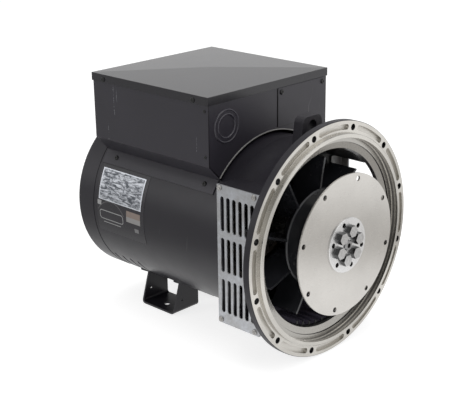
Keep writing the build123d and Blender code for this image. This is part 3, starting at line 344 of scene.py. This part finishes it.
def turned_metal(g, x, r, pocket, turning):
    """Colour of the bracket's bare metal, with painted shade in its steps, round walls and inner
    corner, and a painted highlight along the lip of the mouth.
    """
    stain = g.remap(g.noise(9, 3, 0.55), 0.35, 0.7)
    # the steps inside the register are painted darker as painted shade, and their round walls and
    # the bore darker still, as painted shade and painted dark reflection
    steps = g.both(g.below(x, SHADED_STEPS_X, 0.0004), g.below(r, SHADED_STEPS_R, 0.00025))
    round_wall = g.remap(g.end_on(), 0.75, 0.45)
    wall_shade = g.both(round_wall, g.below(x, SHADED_WALLS_X, 0.0003), g.below(r, SHADED_WALLS_R, 0.0004))
    bore_shade = g.both(g.below(x, MOUTH_FLOOR_X, 0.0004), g.below(r, BORE_R, 0.00025))
    # the mouth's edge is painted bright, a painted highlight, and the corner of the next step is
    # painted dark, a painted shade
    edge = g.both(g.near(r, HIGHLIGHT_EDGE_R, 0.0005, 0.0005), g.below(x, HIGHLIGHT_EDGE_X, 0.0008))
    corner = g.both(g.near(r, SHADED_CORNER_R, 0.0005, 0.0006), g.below(x, SHADED_CORNER_X, 0.0006))
    metal = g.mix(stain, grey(202, STRAW), grey(180, STRAW))
    for share, colour in (
        (g.remap(turning, 0.35, 0.75, 0.0, 0.45), grey(160, STRAW)),
        (pocket, grey(196, STRAW)),
        (g.both(steps, 0.7), grey(150, STRAW)),
        (g.math("MAXIMUM", wall_shade, bore_shade), grey(112, WARM)),
        (g.both(corner, 0.75), grey(46, WARM)),
        (g.both(edge, 0.8), grey(232, STRAW)),
    ):
        metal = g.mix(share, metal, colour)
    return metal


def bracket_casting():
    """Cast bracket: rough black paint outside, bare turned metal on the face and in the mouth."""
    g = new_material("bracket_casting")
    x, y, z = g.split()
    r = g.radius()
    angle = g.angle()
    # where the tool has been: the face and mouth, and the first stretch of the bore
    on_face = g.both(g.above(x, MOUTH_FLOOR_X, 0.0002), g.below(r, FACE_RIM_R, 0.00015))
    in_bore = g.both(g.above(x, TURNED_BORE_X, 0.0005), g.between(r, *TURNED_BORE_R, 0.0001))
    by_ribs = g.between(angle, *RIB_ANGLES, 1.0)
    in_bore = g.without(in_bore, g.both(by_ribs, g.below(x, RIB_FRONT_X, 0.0005)))
    # the bolt holes' walls are painted near black: painted shade
    shaded_hole = g.both(bolt_holes(g, angle, r), g.below(x, FACE_X, 0.00025))
    bare = g.without(g.math("MAXIMUM", on_face, in_bore), shaded_hole)
    pocket = g.both(g.below(x, POCKET_X, 0.0005), g.above(r, POCKET_R, 0.0005))
    # turning marks run round the axis, chatter marks run across them
    lathe_place = g.add("CombineXYZ", inputs={0: r, 1: x, 2: 0.0}).outputs[0]
    turning = g.noise(1800, 3, 0.7, place=lathe_place)
    chatter_inputs = {0: g.math("ARCTAN2", z, y), 1: g.both(r, 4.0)}
    chatter_place = g.add("CombineXYZ", inputs=chatter_inputs).outputs[0]
    chatter = g.noise(46, 3, 0.6, place=chatter_place)
    metal = turned_metal(g, x, r, pocket, turning)
    paint_cloud = g.remap(g.noise(22, 3, 0.5), 0.3, 0.75)
    paint = g.mix(paint_cloud, grey(33, VIOLET), grey(40, VIOLET))
    # painted shade in the bolt holes
    paint = g.mix(g.both(shaded_hole, on_face), paint, grey(16))
    # inside the bore the paint is painted near black, a painted shade, also on the ribs' front
    # ends; behind them the ribbed floor of the bore is painted lighter, a painted sheen
    rib_sheen = g.both(by_ribs, g.below(x, RIB_TOP_X, 0.0004))
    inner_shade_and_sheen = g.mix(rib_sheen, grey(12), grey(96, VIOLET))
    paint = g.mix(g.below(r, INNER_SHADE_R, 0.0005), paint, inner_shade_and_sheen)
    g.set(Base_Color=g.mix(bare, paint, metal), Specular_IOR_Level=0.3)
    g.set(Metallic=bare)
    metal_rough = g.blend(pocket, g.remap(chatter, 0.3, 0.75, 0.20, 0.30), 0.42)
    paint_rough = g.remap(g.noise(60, 3, 0.6), 0.3, 0.7, 0.40, 0.50)
    g.set(Roughness=g.blend(bare, paint_rough, metal_rough))
    cast_skin = g.bump(g.noise(420, 4, 0.6), 0.20, 0.0010)
    cut_skin = g.bump(turning, 0.12, 0.0002, g.bump(chatter, 0.08, 0.0004))
    skin = g.add("Mix", {"data_type": "VECTOR"}, {0: bare, 4: cast_skin, 5: cut_skin})
    g.set(Normal=skin.outputs[1])
    return g.owner


def galvanised():
    """Zinc-coated sheet with faint spangle and dull blotches."""
    g = new_material("galvanised")
    voronoi = {"Vector": g.place, "Scale": 260.0}
    cells = g.add("TexVoronoi", {"feature": "F1"}, voronoi).outputs["Color"]
    flake = g.add("SeparateColor", inputs={0: cells}).outputs[0]
    blotch = g.noise(60, 5, 0.65)
    tone = g.mix(g.remap(blotch, 0.3, 0.72), grey(198, COOL), grey(170))
    g.set(Base_Color=g.mix(g.remap(flake, 0, 1, 0, 0.3), tone, grey(155)))
    g.set(Metallic=0.85)
    g.set(Roughness=g.remap(flake, 0, 1, 0.36, 0.50))
    g.set(Normal=g.bump(g.noise(900, 3, 0.6), 0.10, 0.0003, g.bump(flake, 0.04, 0.0003)))
    return g.owner


def brushed(name, level, hue, roughness, grain_stretch):
    """Rolled steel with a fine straight grain, light clouds and hairline scratches."""
    g = new_material(name)
    grain = g.noise(700, 4, 0.7, stretch=grain_stretch)
    cloud = g.noise(14, 3, 0.55)
    tone = g.mix(g.remap(cloud, 0.35, 0.7), grey(level, hue), grey(level * 0.96, hue))
    hair = g.both(g.scratches(24, 0.006, (1.0, 0.5, 1.6)), 0.4)
    g.set(Base_Color=g.mix(hair, tone, grey(level * 0.82, hue)))
    g.set(Metallic=1.0)
    g.set(Roughness=g.remap(grain, 0.3, 0.7, roughness - 0.03, roughness + 0.05))
    g.set(Normal=g.bump(grain, 0.05, 0.0002))
    return g.owner


def plated(name, level, hue, roughness, metallic=1.0, flank_shade=1.0):
    """Plated or blackened steel; the last argument scales the grey of faces off the shaft's line,
    a painted shade on those flanks.
    """
    g = new_material(name)
    cloud = g.noise(220, 4, 0.65)
    tone = g.mix(g.remap(cloud, 0.3, 0.7), grey(level, hue), grey(level * 0.8, hue))
    # faces off the shaft's line are painted darker: painted shade
    if flank_shade < 1:
        tone = g.mix(g.remap(g.end_on(), 0.3, 0.75), grey(level * flank_shade, hue), tone)
    g.set(Base_Color=tone)
    g.set(Metallic=metallic)
    g.set(Roughness=g.remap(cloud, 0.3, 0.7, roughness - 0.05, roughness + 0.08))
    g.set(Normal=g.bump(g.noise(1500, 2, 0.6), 0.08, 0.0002))
    return g.owner


def moulded(name, level, hue, roughness):
    """Moulded plastic or rubber with a fine even texture."""
    g = new_material(name)
    cloud = g.noise(35, 3, 0.6)
    g.set(Base_Color=g.mix(g.remap(cloud, 0.3, 0.7), grey(level, hue), grey(level * 1.2, hue)))
    g.set(Roughness=g.remap(cloud, 0.3, 0.7, roughness - 0.05, roughness + 0.05))
    g.set(Normal=g.bump(g.noise(1100, 2, 0.5), 0.06, 0.0003))
    return g.owner


def enamelled_wire(name, dark, light, metallic):
    """Copper wire under varnish, toned from a dark to a light amber; for the windings these
    colours carry painted shade and a painted glint.
    """
    g = new_material(name)
    cloud = g.noise(80, 4, 0.6)
    g.set(Base_Color=g.mix(g.remap(cloud, 0.4, 0.75), (*dark, 1), (*light, 1)))
    g.set(Metallic=metallic)
    g.set(Roughness=g.remap(cloud, 0.3, 0.7, 0.22, 0.36))
    g.set(Normal=g.bump(g.noise(600, 3, 0.6), 0.25, 0.0006))
    return g.owner


SHEET_THICKNESS = 0.001


def laminated_core():
    """Stacked sheet steel: fine lines across the shaft under dark varnish."""
    g = new_material("laminated_core")
    x = g.split()[0]
    sheets = g.math("SINE", g.both(x, 2 * pi / SHEET_THICKNESS))
    varnish = g.remap(g.noise(50, 3, 0.6), 0.3, 0.7)
    g.set(Base_Color=g.mix(varnish, grey(34, WARM), grey(48, WARM)))
    g.set(Metallic=0.5, Roughness=0.45)
    g.set(Normal=g.bump(sheets, 0.2, 0.0003))
    return g.owner


# the plain table on the data plate, in metres and degrees
TABLE_X = (-0.4105, -0.3030)
TABLE_ANGLES = (152.5, 172.2)
TABLE_COLUMN_X = -0.3560
TABLE_FIRST_ROW = 151.8
TABLE_ROW_PITCH = 2.64


def wrinkled_foil():
    """Data plate: crumpled metal foil with blue-grey creases and an empty ruled table."""
    g = new_material("wrinkled_foil")
    x = g.split()[0]
    angle = g.angle()
    crease = g.noise(130, 6, 0.72, 0.7, stretch=(0.5, 1.0, 1.6))
    fine = g.noise(520, 4, 0.7, 0.8)
    tone = g.mix(g.remap(crease, 0.42, 0.59), grey(84, (0.95, 1.0, 1.08)), grey(214, COOL))
    rows = g.math("DIVIDE", g.math("SUBTRACT", angle, TABLE_FIRST_ROW), TABLE_ROW_PITCH)
    rule = g.remap(g.apart(g.math("FRACT", rows), 0.5), 0.40, 0.46)
    column = g.near(x, TABLE_COLUMN_X, 0.0006, 0.0004)
    within = g.both(g.between(x, *TABLE_X, 0.0004), g.between(angle, *TABLE_ANGLES, 0.15))
    ruled = g.both(g.math("MAXIMUM", rule, column), within, 0.45)
    tone = g.mix(ruled, tone, grey(70, COOL))
    g.set(Base_Color=g.mix(within, grey(225, COOL), tone))
    g.set(Metallic=0.7)
    g.set(Roughness=g.remap(fine, 0.3, 0.7, 0.28, 0.45))
    g.set(Normal=g.bump(crease, 0.45, 0.002, g.bump(fine, 0.3, 0.0006)))
    return g.owner


# the film's rear edge in metres and its top edge in degrees; the shapes on it in metres:
# from and to counted from the rear edge, then from and to counted down from the top edge
FILM_REAR_X = -0.4180
FILM_TOP_ANGLE = 149.6
FILM_OUTLINE = (0.008, 0.070, 0.083, 0.099)
FILM_BAR = (0.016, 0.062, 0.1045, 0.1055)
FILM_SPOT = (0.002, 0.012, 0.066, 0.074)
FILM_PATCH = (0.080, 0.116, 0.070, 0.090)
FILM_SILVER = (0.080, 0.116, 0.081, 0.090)
FILM_TAB = (0.100, 0.110, 0.099, 0.106)
FILM_ARC_CENTRE = (0.038, 0.104)
FILM_ARC_R = 0.040
FILM_ARC_END = 0.0835


def label_film():
    """Black film with plain shapes: an outline, a bar, a spot, a two-tone patch, a tab, an arc."""
    g = new_material("label_film")
    fibre = g.noise(300, 4, 0.6)
    across = g.math("SUBTRACT", g.split()[0], FILM_REAR_X)
    down = g.both(g.math("SUBTRACT", g.angle(), FILM_TOP_ANGLE), radians(1) * CASING_R * MM)

    def patch(x0, x1, y0, y1):
        return g.both(g.between(across, x0, x1, 0.0004), g.between(down, y0, y1, 0.0004))

    def rounded(x0, x1, y0, y1, corner):
        """Distance outwards from the edge of a box with rounded corners."""
        aside = g.math("SUBTRACT", g.apart(across, (x0 + x1) / 2), (x1 - x0) / 2 - corner)
        above = g.math("SUBTRACT", g.apart(down, (y0 + y1) / 2), (y1 - y0) / 2 - corner)
        past = g.length(g.math("MAXIMUM", aside, 0.0), g.math("MAXIMUM", above, 0.0))
        return g.math("SUBTRACT", past, corner)

    outline = g.near(rounded(*FILM_OUTLINE, 0.005), 0.0, 0.0005, 0.0005)
    pale = g.math("MAXIMUM", outline, patch(*FILM_BAR), clamp=True)
    pale = g.math("MAXIMUM", pale, patch(*FILM_SPOT))
    middle, base = FILM_ARC_CENTRE
    reach = g.length(g.math("SUBTRACT", across, middle), g.math("SUBTRACT", down, base))
    arc = g.both(g.near(reach, FILM_ARC_R, 0.0005, 0.0005), g.below(down, FILM_ARC_END, 0.0005))
    colour = g.mix(g.remap(fibre, 0.3, 0.7), grey(34, VIOLET), grey(42, VIOLET))
    for share, paint in (
        (g.both(pale, 0.75), grey(200)),
        (g.both(arc, 0.35), grey(150)),
        (g.both(patch(*FILM_PATCH), 0.85), grey(150, (1.08, 0.97, 0.90))),
        (g.both(patch(*FILM_SILVER), 0.85), grey(165)),
        (g.both(patch(*FILM_TAB), 0.6), grey(170)),
    ):
        colour = g.mix(share, colour, paint)
    g.set(Base_Color=colour, Specular_IOR_Level=0.5)
    g.set(Roughness=g.remap(fibre, 0.3, 0.7, 0.20, 0.26))
    g.set(Normal=g.bump(fibre, 0.05, 0.0003))
    return g.owner


def sleeve(name, colour):
    """Insulated lead or sleeving."""
    g = new_material(name)
    cloud = g.noise(60, 3, 0.5)
    dark = tuple(c * 0.7 for c in colour)
    g.set(Base_Color=g.mix(g.remap(cloud, 0.3, 0.7), (*colour, 1), (*dark, 1)))
    g.set(Roughness=0.4)
    g.set(Normal=g.bump(g.noise(700, 2, 0.5), 0.06, 0.0003))
    return g.owner


MATERIALS = {
    "bracket_casting": bracket_casting(),
    "black_paint": coated("black_paint", 38, 0.33, 0.36, 0.35),
    "box_paint": coated("box_paint", 48, 0.38, 0.45, 0.5, boxed=True),
    "lid_paint": coated("lid_paint", 34, 0.22, 0.5, 0.1, peel=0.008, sway=0.006),
    "galvanised": galvanised(),
    "zinc_screws": plated("zinc_screws", 178, WARM, 0.28),
    "black_screws": plated("black_screws", 34, PLAIN, 0.30, 0.3),
    "disc_steel": brushed("disc_steel", 197, (1.014, 1.0, 0.978), 0.24, (1.0, 0.12, 1.0)),
    "clamp_steel": brushed("clamp_steel", 222, PLAIN, 0.26, (1.0, 1.0, 0.2)),
    "bolt_steel": plated("bolt_steel", 215, PLAIN, 0.20, flank_shade=0.36),
    "shaft_steel": plated("shaft_steel", 165, PLAIN, 0.28),
    "bearing_steel": plated("bearing_steel", 200, PLAIN, 0.15),
    "core_steel": laminated_core(),
    # the windings' copper is painted near black: painted shade inside the machine
    "copper": enamelled_wire("copper", (0.010, 0.008, 0.007), (0.034, 0.022, 0.013), 0.6),
    # the fan's black plastic is given a lighter bluish grey: partly its own colour, partly a
    # painted bluish sheen
    "fan_plastic": moulded("fan_plastic", 47, (0.96, 0.98, 1.07), 0.24),
    # the black rubber trim is given a pale grey: a painted highlight along the arch's edge
    "trim_rubber": moulded("trim_rubber", 128, WARM, 0.22),
    "board_plastic": moulded("board_plastic", 70, PLAIN, 0.45),
    "stud_brass": plated("stud_brass", 190, (1.12, 1.0, 0.8), 0.25),
    "label_film": label_film(),
    "data_plate": wrinkled_foil(),
}
# bright gold wire, a lit copy of the dark copper: a painted glint
LIT_GOLD_WIRE = enamelled_wire("gold_wire_painted_glint", (0.60, 0.36, 0.12), (1.0, 0.78, 0.42), 0.0)
# the knockout's bead has the box paint made lighter and glossier; the lighter grey is a painted
# highlight
BEAD_PAINT_HIGHLIT = coated("bead_paint_highlit", 58, 0.24, 0.6, 0.0)
PLATE_GREY = moulded("plate_grey", 150, WARM, 0.4)
RED_SLEEVE = sleeve("red_sleeve", (0.80, 0.05, 0.04))
SLOTS = {row["node"]: row["material_slot"] for row in frame["record"]["subparts"]}


def dress_cad_nodes():
    """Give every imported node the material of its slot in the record."""
    for name, slot in SLOTS.items():
        materials = NODES[name].data.materials
        materials.clear()
        materials.append(MATERIALS[slot])


# ---------------------------------------------------------------- piece tools
def lathe(bm, profile, place, steps, drop=None):
    """Turns (radius, height) points about place's own Z; drop may lower points by its amount."""
    rings = []
    for radius, height in profile:
        ring = []
        for i in range(steps if radius else 1):
            angle = 2 * pi * i / steps
            level = height - (drop(radius, angle) if drop else 0.0)
            point = Vector((radius * cos(angle), radius * sin(angle), level))
            ring.append(bm.verts.new(place @ point))
        rings.append(ring)
    for low, high in zip(rings, rings[1:]):
        for i in range(steps):
            j = (i + 1) % steps
            around = [(low, i), (low, j), (high, j), (high, i)]
            corners = [ring[k % len(ring)] for ring, k in around]
            bm.faces.new(list(dict.fromkeys(corners)))


def tube(bm, points, radii, sides):
    """A closed tube through points, with one radius for each."""
    spin = [2 * pi * k / sides for k in range(sides)]
    rings = []
    for i, (point, radius) in enumerate(zip(points, radii)):
        ahead = points[min(i + 1, len(points) - 1)] - points[max(i - 1, 0)]
        turn = ahead.to_track_quat("Z", "Y").to_matrix()
        spots = [point + turn @ Vector((cos(a), sin(a), 0)) * radius for a in spin]
        rings.append([bm.verts.new(spot) for spot in spots])
    for low, high in zip(rings, rings[1:]):
        for i in range(sides):
            j = (i + 1) % sides
            bm.faces.new((low[i], low[j], high[j], high[i]))
    bm.faces.new(rings[0][::-1])
    bm.faces.new(rings[-1])


def block(bm, low, high):
    """A box between two corners in millimetres."""
    low, high = Vector(low) * MM, Vector(high) * MM
    turn = Matrix.Diagonal((*(high - low), 1))
    bmesh.ops.create_cube(bm, size=1, matrix=Matrix.Translation((low + high) / 2) @ turn)


def stand(at, normal):
    """A place in millimetres whose own Z is along normal, for shapes drawn in metres."""
    turn = Vector(normal).to_track_quat("Z", "Y").to_matrix().to_4x4()
    return Matrix.Translation(Vector(at) * MM) @ turn


def polar(x, radius, degrees):
    """A point in millimetres at an angle about the shaft."""
    return Vector((x, radius * cos(radians(degrees)), radius * sin(radians(degrees))))


def piece(name, bm, body, slot, material=None, node=None, smooth=True):
    """Turns bm into a piece that rides on body and stands for node where one is named."""
    bmesh.ops.recalc_face_normals(bm, faces=bm.faces)
    mesh = bpy.data.meshes.new(name)
    bm.to_mesh(mesh)
    bm.free()
    mesh.polygons.foreach_set("use_smooth", [smooth] * len(mesh.polygons))
    mesh.materials.append(material or MATERIALS[slot])
    obj = bpy.data.objects.new(name, mesh)
    bpy.context.scene.collection.objects.link(obj)
    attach(obj, body)
    if node:
        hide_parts(node)
    return obj


# ---------------------------------------------------------------- fasteners
# length of the shank in millimetres
SHANK = 4.5
# shares of the head's radius
SHANK_R = 0.5
RECESS_REACH = 0.56
RECESS_HALF = 0.156
# shares of the head's height: the recess at its middle, and how much less at its reach
RECESS_DEPTH = 0.62
RECESS_RISE = 0.45


def pan_head(bm, at, normal, radius, height, recess=True):
    """A pan-head screw with a cross recess and a short shank under it."""
    r, h = radius * MM, height * MM

    def cross(reach, angle):
        aside = abs(reach * sin((angle + pi / 4) % (pi / 2) - pi / 4))
        if not recess or reach > RECESS_REACH * r or aside > RECESS_HALF * r:
            return 0.0
        return h * (RECESS_DEPTH - RECESS_RISE * reach / (RECESS_REACH * r))

    top = [(0.0, 1.0), (0.06, 1.0), (0.16, 1.0), (0.28, 1.0), (0.40, 0.99), (0.50, 0.98)]
    rim = [(0.58, 0.96), (0.72, 0.90), (0.84, 0.78), (0.94, 0.55), (1.0, 0.28), (1.0, 0.0)]
    profile = [(out * r, up * h) for out, up in top + rim]
    profile += [(SHANK_R * r, 0.0), (SHANK_R * r, -SHANK * MM), (0.0, -SHANK * MM)]
    lathe(bm, profile, stand(at, normal), 48, cross)


def screws(name, places, radius, height, recess=True):
    """Detailed heads that stand for the CAD node of that name."""
    bm = bmesh.new()
    for at, normal in places:
        pan_head(bm, at, normal, radius, height, recess)
    piece(name + "_detailed", bm, "housing", SLOTS[name], node=name)


def fasteners():
    sides = (-1, 1)
    guard = [((x, s * GUARD_FACE_Y, z), (0, s, 0)) for s in sides for x, z in GUARD_SCREWS_AT]
    screws("guard_screws", guard, 5.0, 3.0)
    lid = [((x, s * LID_FACE_Y, LID_SCREW_Z), (0, s, 0)) for s in sides for x in LID_SCREW_X]
    screws("lid_screws", lid, 4.5, 2.2)
    rivets = [((x, s * BOX_SIDE_Y, z), (0, s, 0)) for s in sides for x, z in RIVETS_AT]
    screws("panel_rivets", rivets, 3.0, 1.4, recess=False)
    cover = [((COVER_SCREW_X, y, z), (1, 0, 0)) for y, z in COVER_SCREWS_AT]
    screws("cover_plate_screws", cover, 4.5, 2.2)
    strip = []
    for x in STRIP_SCREW_X:
        for angle in STRIP_SCREW_ANGLES:
            strip.append((polar(x, STRIP_SEAT_R, angle), polar(0, 1, angle)))
    screws("strip_screws", strip, 4.5, 2.4)


# ---------------------------------------------------------------- small forms on the housing
# radius and height of the knockout's pressed ring and disc, in millimetres
KNOCKOUT_RINGS = [
    [(28.8, -0.2), (28.5, 1.0), (27.8, 1.8), (27.0, 2.1), (26.2, 1.8), (25.6, 1.1)],
    [(21.0, 1.1), (20.4, 1.8), (19.6, 2.1), (18.8, 1.7), (18.2, 0.8), (17.9, -0.2)],
]
WELD_R = 2.0
WELD_RIPPLE = 0.35
WELD_OUT = 0.6
LINER_PLATES = [
    [(-102.0, 148.6, 68.0), (-86.6, 149.8, 98.0)],
    [(-102.0, 120.0, 68.0), (-100.8, 149.8, 98.0)],
]
LINER_SCREW_AT = (-100.8, 137.0, 79.0)


def knockout():
    """The pressed ring and disc of the blanked cable entry."""
    bm = bmesh.new()
    for ring in KNOCKOUT_RINGS:
        lathe(bm, [(r * MM, h * MM) for r, h in ring], stand(KNOCKOUT_AT, (1, 0, 0)), 72)
    piece("knockout_bead", bm, "housing", "box_paint", BEAD_PAINT_HIGHLIT)


def welds():
    """Weld beads where the walls of the feet meet the casing."""
    bm = bmesh.new()
    first, last = FOOT_ANGLES
    steps = 72
    for mirrored in (False, True):
        for wall_x, out in zip(FOOT_WALLS_X, (-WELD_OUT, WELD_OUT)):
            points, radii = [], []
            for i in range(steps + 1):
                angle = first + (last - first) * i / steps
                if mirrored:
                    angle = 180 - angle
                points.append(polar(wall_x + out, CASING_R + 0.5, angle) * MM)
                radii.append((WELD_R + WELD_RIPPLE * abs(sin(i * pi / 4))) * MM)
            tube(bm, points, radii, 10)
    piece("foot_welds", bm, "housing", "black_paint")


def duct_liner():
    """A small bent zinc plate and its screw inside the far air window."""
    bm = bmesh.new()
    for low, high in LINER_PLATES:
        block(bm, low, high)
    pan_head(bm, LINER_SCREW_AT, (1, 0, 0), 3.4, 1.8)
    piece("duct_liner", bm, "housing", "galvanised", PLATE_GREY, smooth=False)


# ---------------------------------------------------------------- windings
# millimetres and degrees
STATOR_WIRES = 72
STATOR_PITCH = 5
STATOR_SPAN = 42
STATOR_END_X = -187
STATOR_WIRE_R = 131.0
STATOR_WIRE_THICK = 1.5
STATOR_STEPS = 14
POLES = 4
POLE_LAYERS = 12
POLE_FIRST_R = 47
POLE_LAYER_PITCH = 3.0
POLE_HALF = 40
POLE_END_X = -168.3
POLE_WIRE_THICK = 1.25
POLE_STEPS = 16
LEAD_THICK = 2.0
LEAD_STEPS = 10


def wires(name, paths, thick, body, material, sides=6):
    """Round wires as one piece; each path is a list of points and thick is their radius."""
    bm = bmesh.new()
    for path in paths:
        tube(bm, [p * MM for p in path], [thick * MM] * len(path), sides)
    piece(name, bm, body, "copper", material)


def stator_wires(rng):
    """Each wire leaves one slot, bows forward and enters another."""
    paths = []
    for i in range(STATOR_WIRES):
        start = i * STATOR_PITCH + rng.uniform(-1, 1)
        bow = rng.uniform(40, 45)
        depth = rng.uniform(0.0, 3.0)
        path = []
        for k in range(STATOR_STEPS + 1):
            t = k / STATOR_STEPS
            lift = sin(pi * t) ** 0.55
            radius = STATOR_WIRE_R - depth - 6 * lift
            path.append(polar(STATOR_END_X + bow * lift, radius, start + STATOR_SPAN * t))
        paths.append(path)
    return paths


def pole_wires(rng, pole):
    """Nested bows over the end of one pole."""
    paths = []
    for layer in range(POLE_LAYERS):
        reach = POLE_FIRST_R + POLE_LAYER_PITCH * layer + rng.uniform(-0.5, 0.5)
        half = POLE_HALF - layer * 0.7
        x = POLE_END_X + rng.uniform(-0.3, 0.5)
        path = []
        for k in range(POLE_STEPS + 1):
            side = 2 * (k / POLE_STEPS) - 1
            path.append(polar(x - 14 * abs(side) ** 6, reach, 90 * pole + half * side))
        paths.append(path)
    return paths


def windings():
    """The stator's and the rotor's end turns in dark copper, a painted shade, one pole of them in
    bright gold, a painted glint, and a sleeved lead.
    """
    rng = random.Random(11)
    wires("stator_end_turns", stator_wires(rng), STATOR_WIRE_THICK, "housing", MATERIALS["copper"])
    for pole in range(POLES):
        # one pole gets the bright wire, a painted glint; the others the dark copper, a painted
        # shade
        material = MATERIALS["copper"] if pole else LIT_GOLD_WIRE
        name = f"rotor_end_turns_{pole + 1}"
        wires(name, pole_wires(rng, pole), POLE_WIRE_THICK, "rotor", material)
    lead = []
    for k in range(LEAD_STEPS + 1):
        lead.append(polar(-166.0 + 3 * sin(pi * k / LEAD_STEPS), 60 + 2.4 * k, 26 + 1.2 * k))
    wires("rotor_lead", [lead], LEAD_THICK, "rotor", RED_SLEEVE, 10)


# ---------------------------------------------------------------- studio
ROOM_WALL = 0.94
ROOM_CEILING = 0.45
ROOM_FILL = 0.45
FLOOR_GLOW = 0.78
WHITE = (1, 1, 1, 1)
# level direction towards the camera
FLOOR_AHEAD = (0.695, 0.719)
# metres that way at which the floor's warm stretch starts, is full, stops being full and ends
WARM_FLOOR = (0.36, 0.50, 0.70, 0.86)
# metres that way at which its dim stretch starts and is full
DIM_FLOOR = (-0.30, -0.70)


def lamp(name, at, aim, size, power):
    data = bpy.data.lights.new(name, "AREA")
    data.shape = "SQUARE"
    data.size = size
    data.energy = power
    obj = bpy.data.objects.new(name, data)
    bpy.context.scene.collection.objects.link(obj)
    obj.location = at
    obj.rotation_euler = (Vector(aim) - Vector(at)).to_track_quat("-Z", "Y").to_euler()


def surroundings():
    """White behind the object, a room darker overhead in reflections, a dim fill elsewhere."""
    world = bpy.data.worlds.new("studio_world")
    bpy.context.scene.world = world
    g = Graph(world, "Background", "Generated")
    rays = g.add("LightPath").outputs
    direct = g.math("MAXIMUM", rays["Is Camera Ray"], rays["Is Transmission Ray"])
    room = g.remap(g.split()[2], 0.25, 0.75, ROOM_WALL, ROOM_CEILING, smooth=True)
    indirect = g.blend(rays["Is Glossy Ray"], ROOM_FILL, room)
    g.set(Color=WHITE, Strength=g.blend(direct, indirect, 1.0))


def floor_plane():
    """Pale floor that keeps the shadow; metal sees warm and dim stretches on it."""
    g = new_material("studio_floor")
    cloud = g.remap(g.noise(3, 2, 0.5), 0.3, 0.7)
    pale = g.mix(cloud, (0.50, 0.50, 0.50, 1), (0.51, 0.51, 0.51, 1))
    rays = g.add("LightPath").outputs
    x, y, _ = g.split()
    ahead = g.math("ADD", g.both(x, FLOOR_AHEAD[0]), g.both(y, FLOOR_AHEAD[1]))
    start, full, still_full, end = WARM_FLOOR
    rising = g.remap(ahead, start, full, smooth=True)
    falling = g.remap(ahead, end, still_full, smooth=True)
    dim = g.remap(ahead, *DIM_FLOOR, smooth=True)
    reflected = g.mix(g.both(rising, falling), WHITE, grey(142, (1.03, 1.0, 0.965)))
    reflected = g.mix(dim, reflected, grey(128))
    glossy = rays["Is Glossy Ray"]
    seen = g.math("MAXIMUM", rays["Is Camera Ray"], glossy)
    g.set(Base_Color=pale, Roughness=0.9)
    g.set(Emission_Color=g.mix(glossy, WHITE, reflected))
    g.set(Emission_Strength=g.both(seen, FLOOR_GLOW))
    bpy.ops.mesh.primitive_plane_add(size=60, location=(0, 0, FLOOR_Z))
    floor = bpy.context.object
    floor.name = "floor"
    floor.data.materials.append(g.owner)


def studio():
    """White surroundings, a pale floor and three soft lamps."""
    bpy.context.scene.view_settings.view_transform = "Standard"
    surroundings()
    floor_plane()
    lamp("overhead", (-0.3, -0.2, 2.6), (-0.2, 0, 0), 2.6, 30)
    lamp("left", (-1.6, -2.4, 1.3), (-0.2, 0, 0), 1.6, 9)
    lamp("right", (2.4, 0.8, 1.4), (0, 0, 0), 2.6, 22)


def camera():
    """The camera at its solved place and turn."""
    level_right = Vector((cos(CAMERA_AZIMUTH), sin(CAMERA_AZIMUTH), 0))
    outwards = Vector((sin(CAMERA_AZIMUTH), -cos(CAMERA_AZIMUTH), 0))
    back = outwards * cos(CAMERA_ELEVATION) + Vector((0, 0, sin(CAMERA_ELEVATION)))
    level_up = back.cross(level_right)
    right = cos(CAMERA_ROLL) * level_right + sin(CAMERA_ROLL) * level_up
    up = cos(CAMERA_ROLL) * level_up - sin(CAMERA_ROLL) * level_right
    data = bpy.data.cameras.new("camera")
    data.lens = CAMERA_LENS
    data.clip_end = 100
    obj = bpy.data.objects.new("camera", data)
    bpy.context.scene.collection.objects.link(obj)
    turn = Matrix((right, up, back)).transposed().to_4x4()
    obj.matrix_world = Matrix.Translation(CAMERA_AT) @ turn
    bpy.context.scene.camera = obj


camera()
studio()
dress_cad_nodes()
fasteners()
knockout()
welds()
duct_liner()
windings()
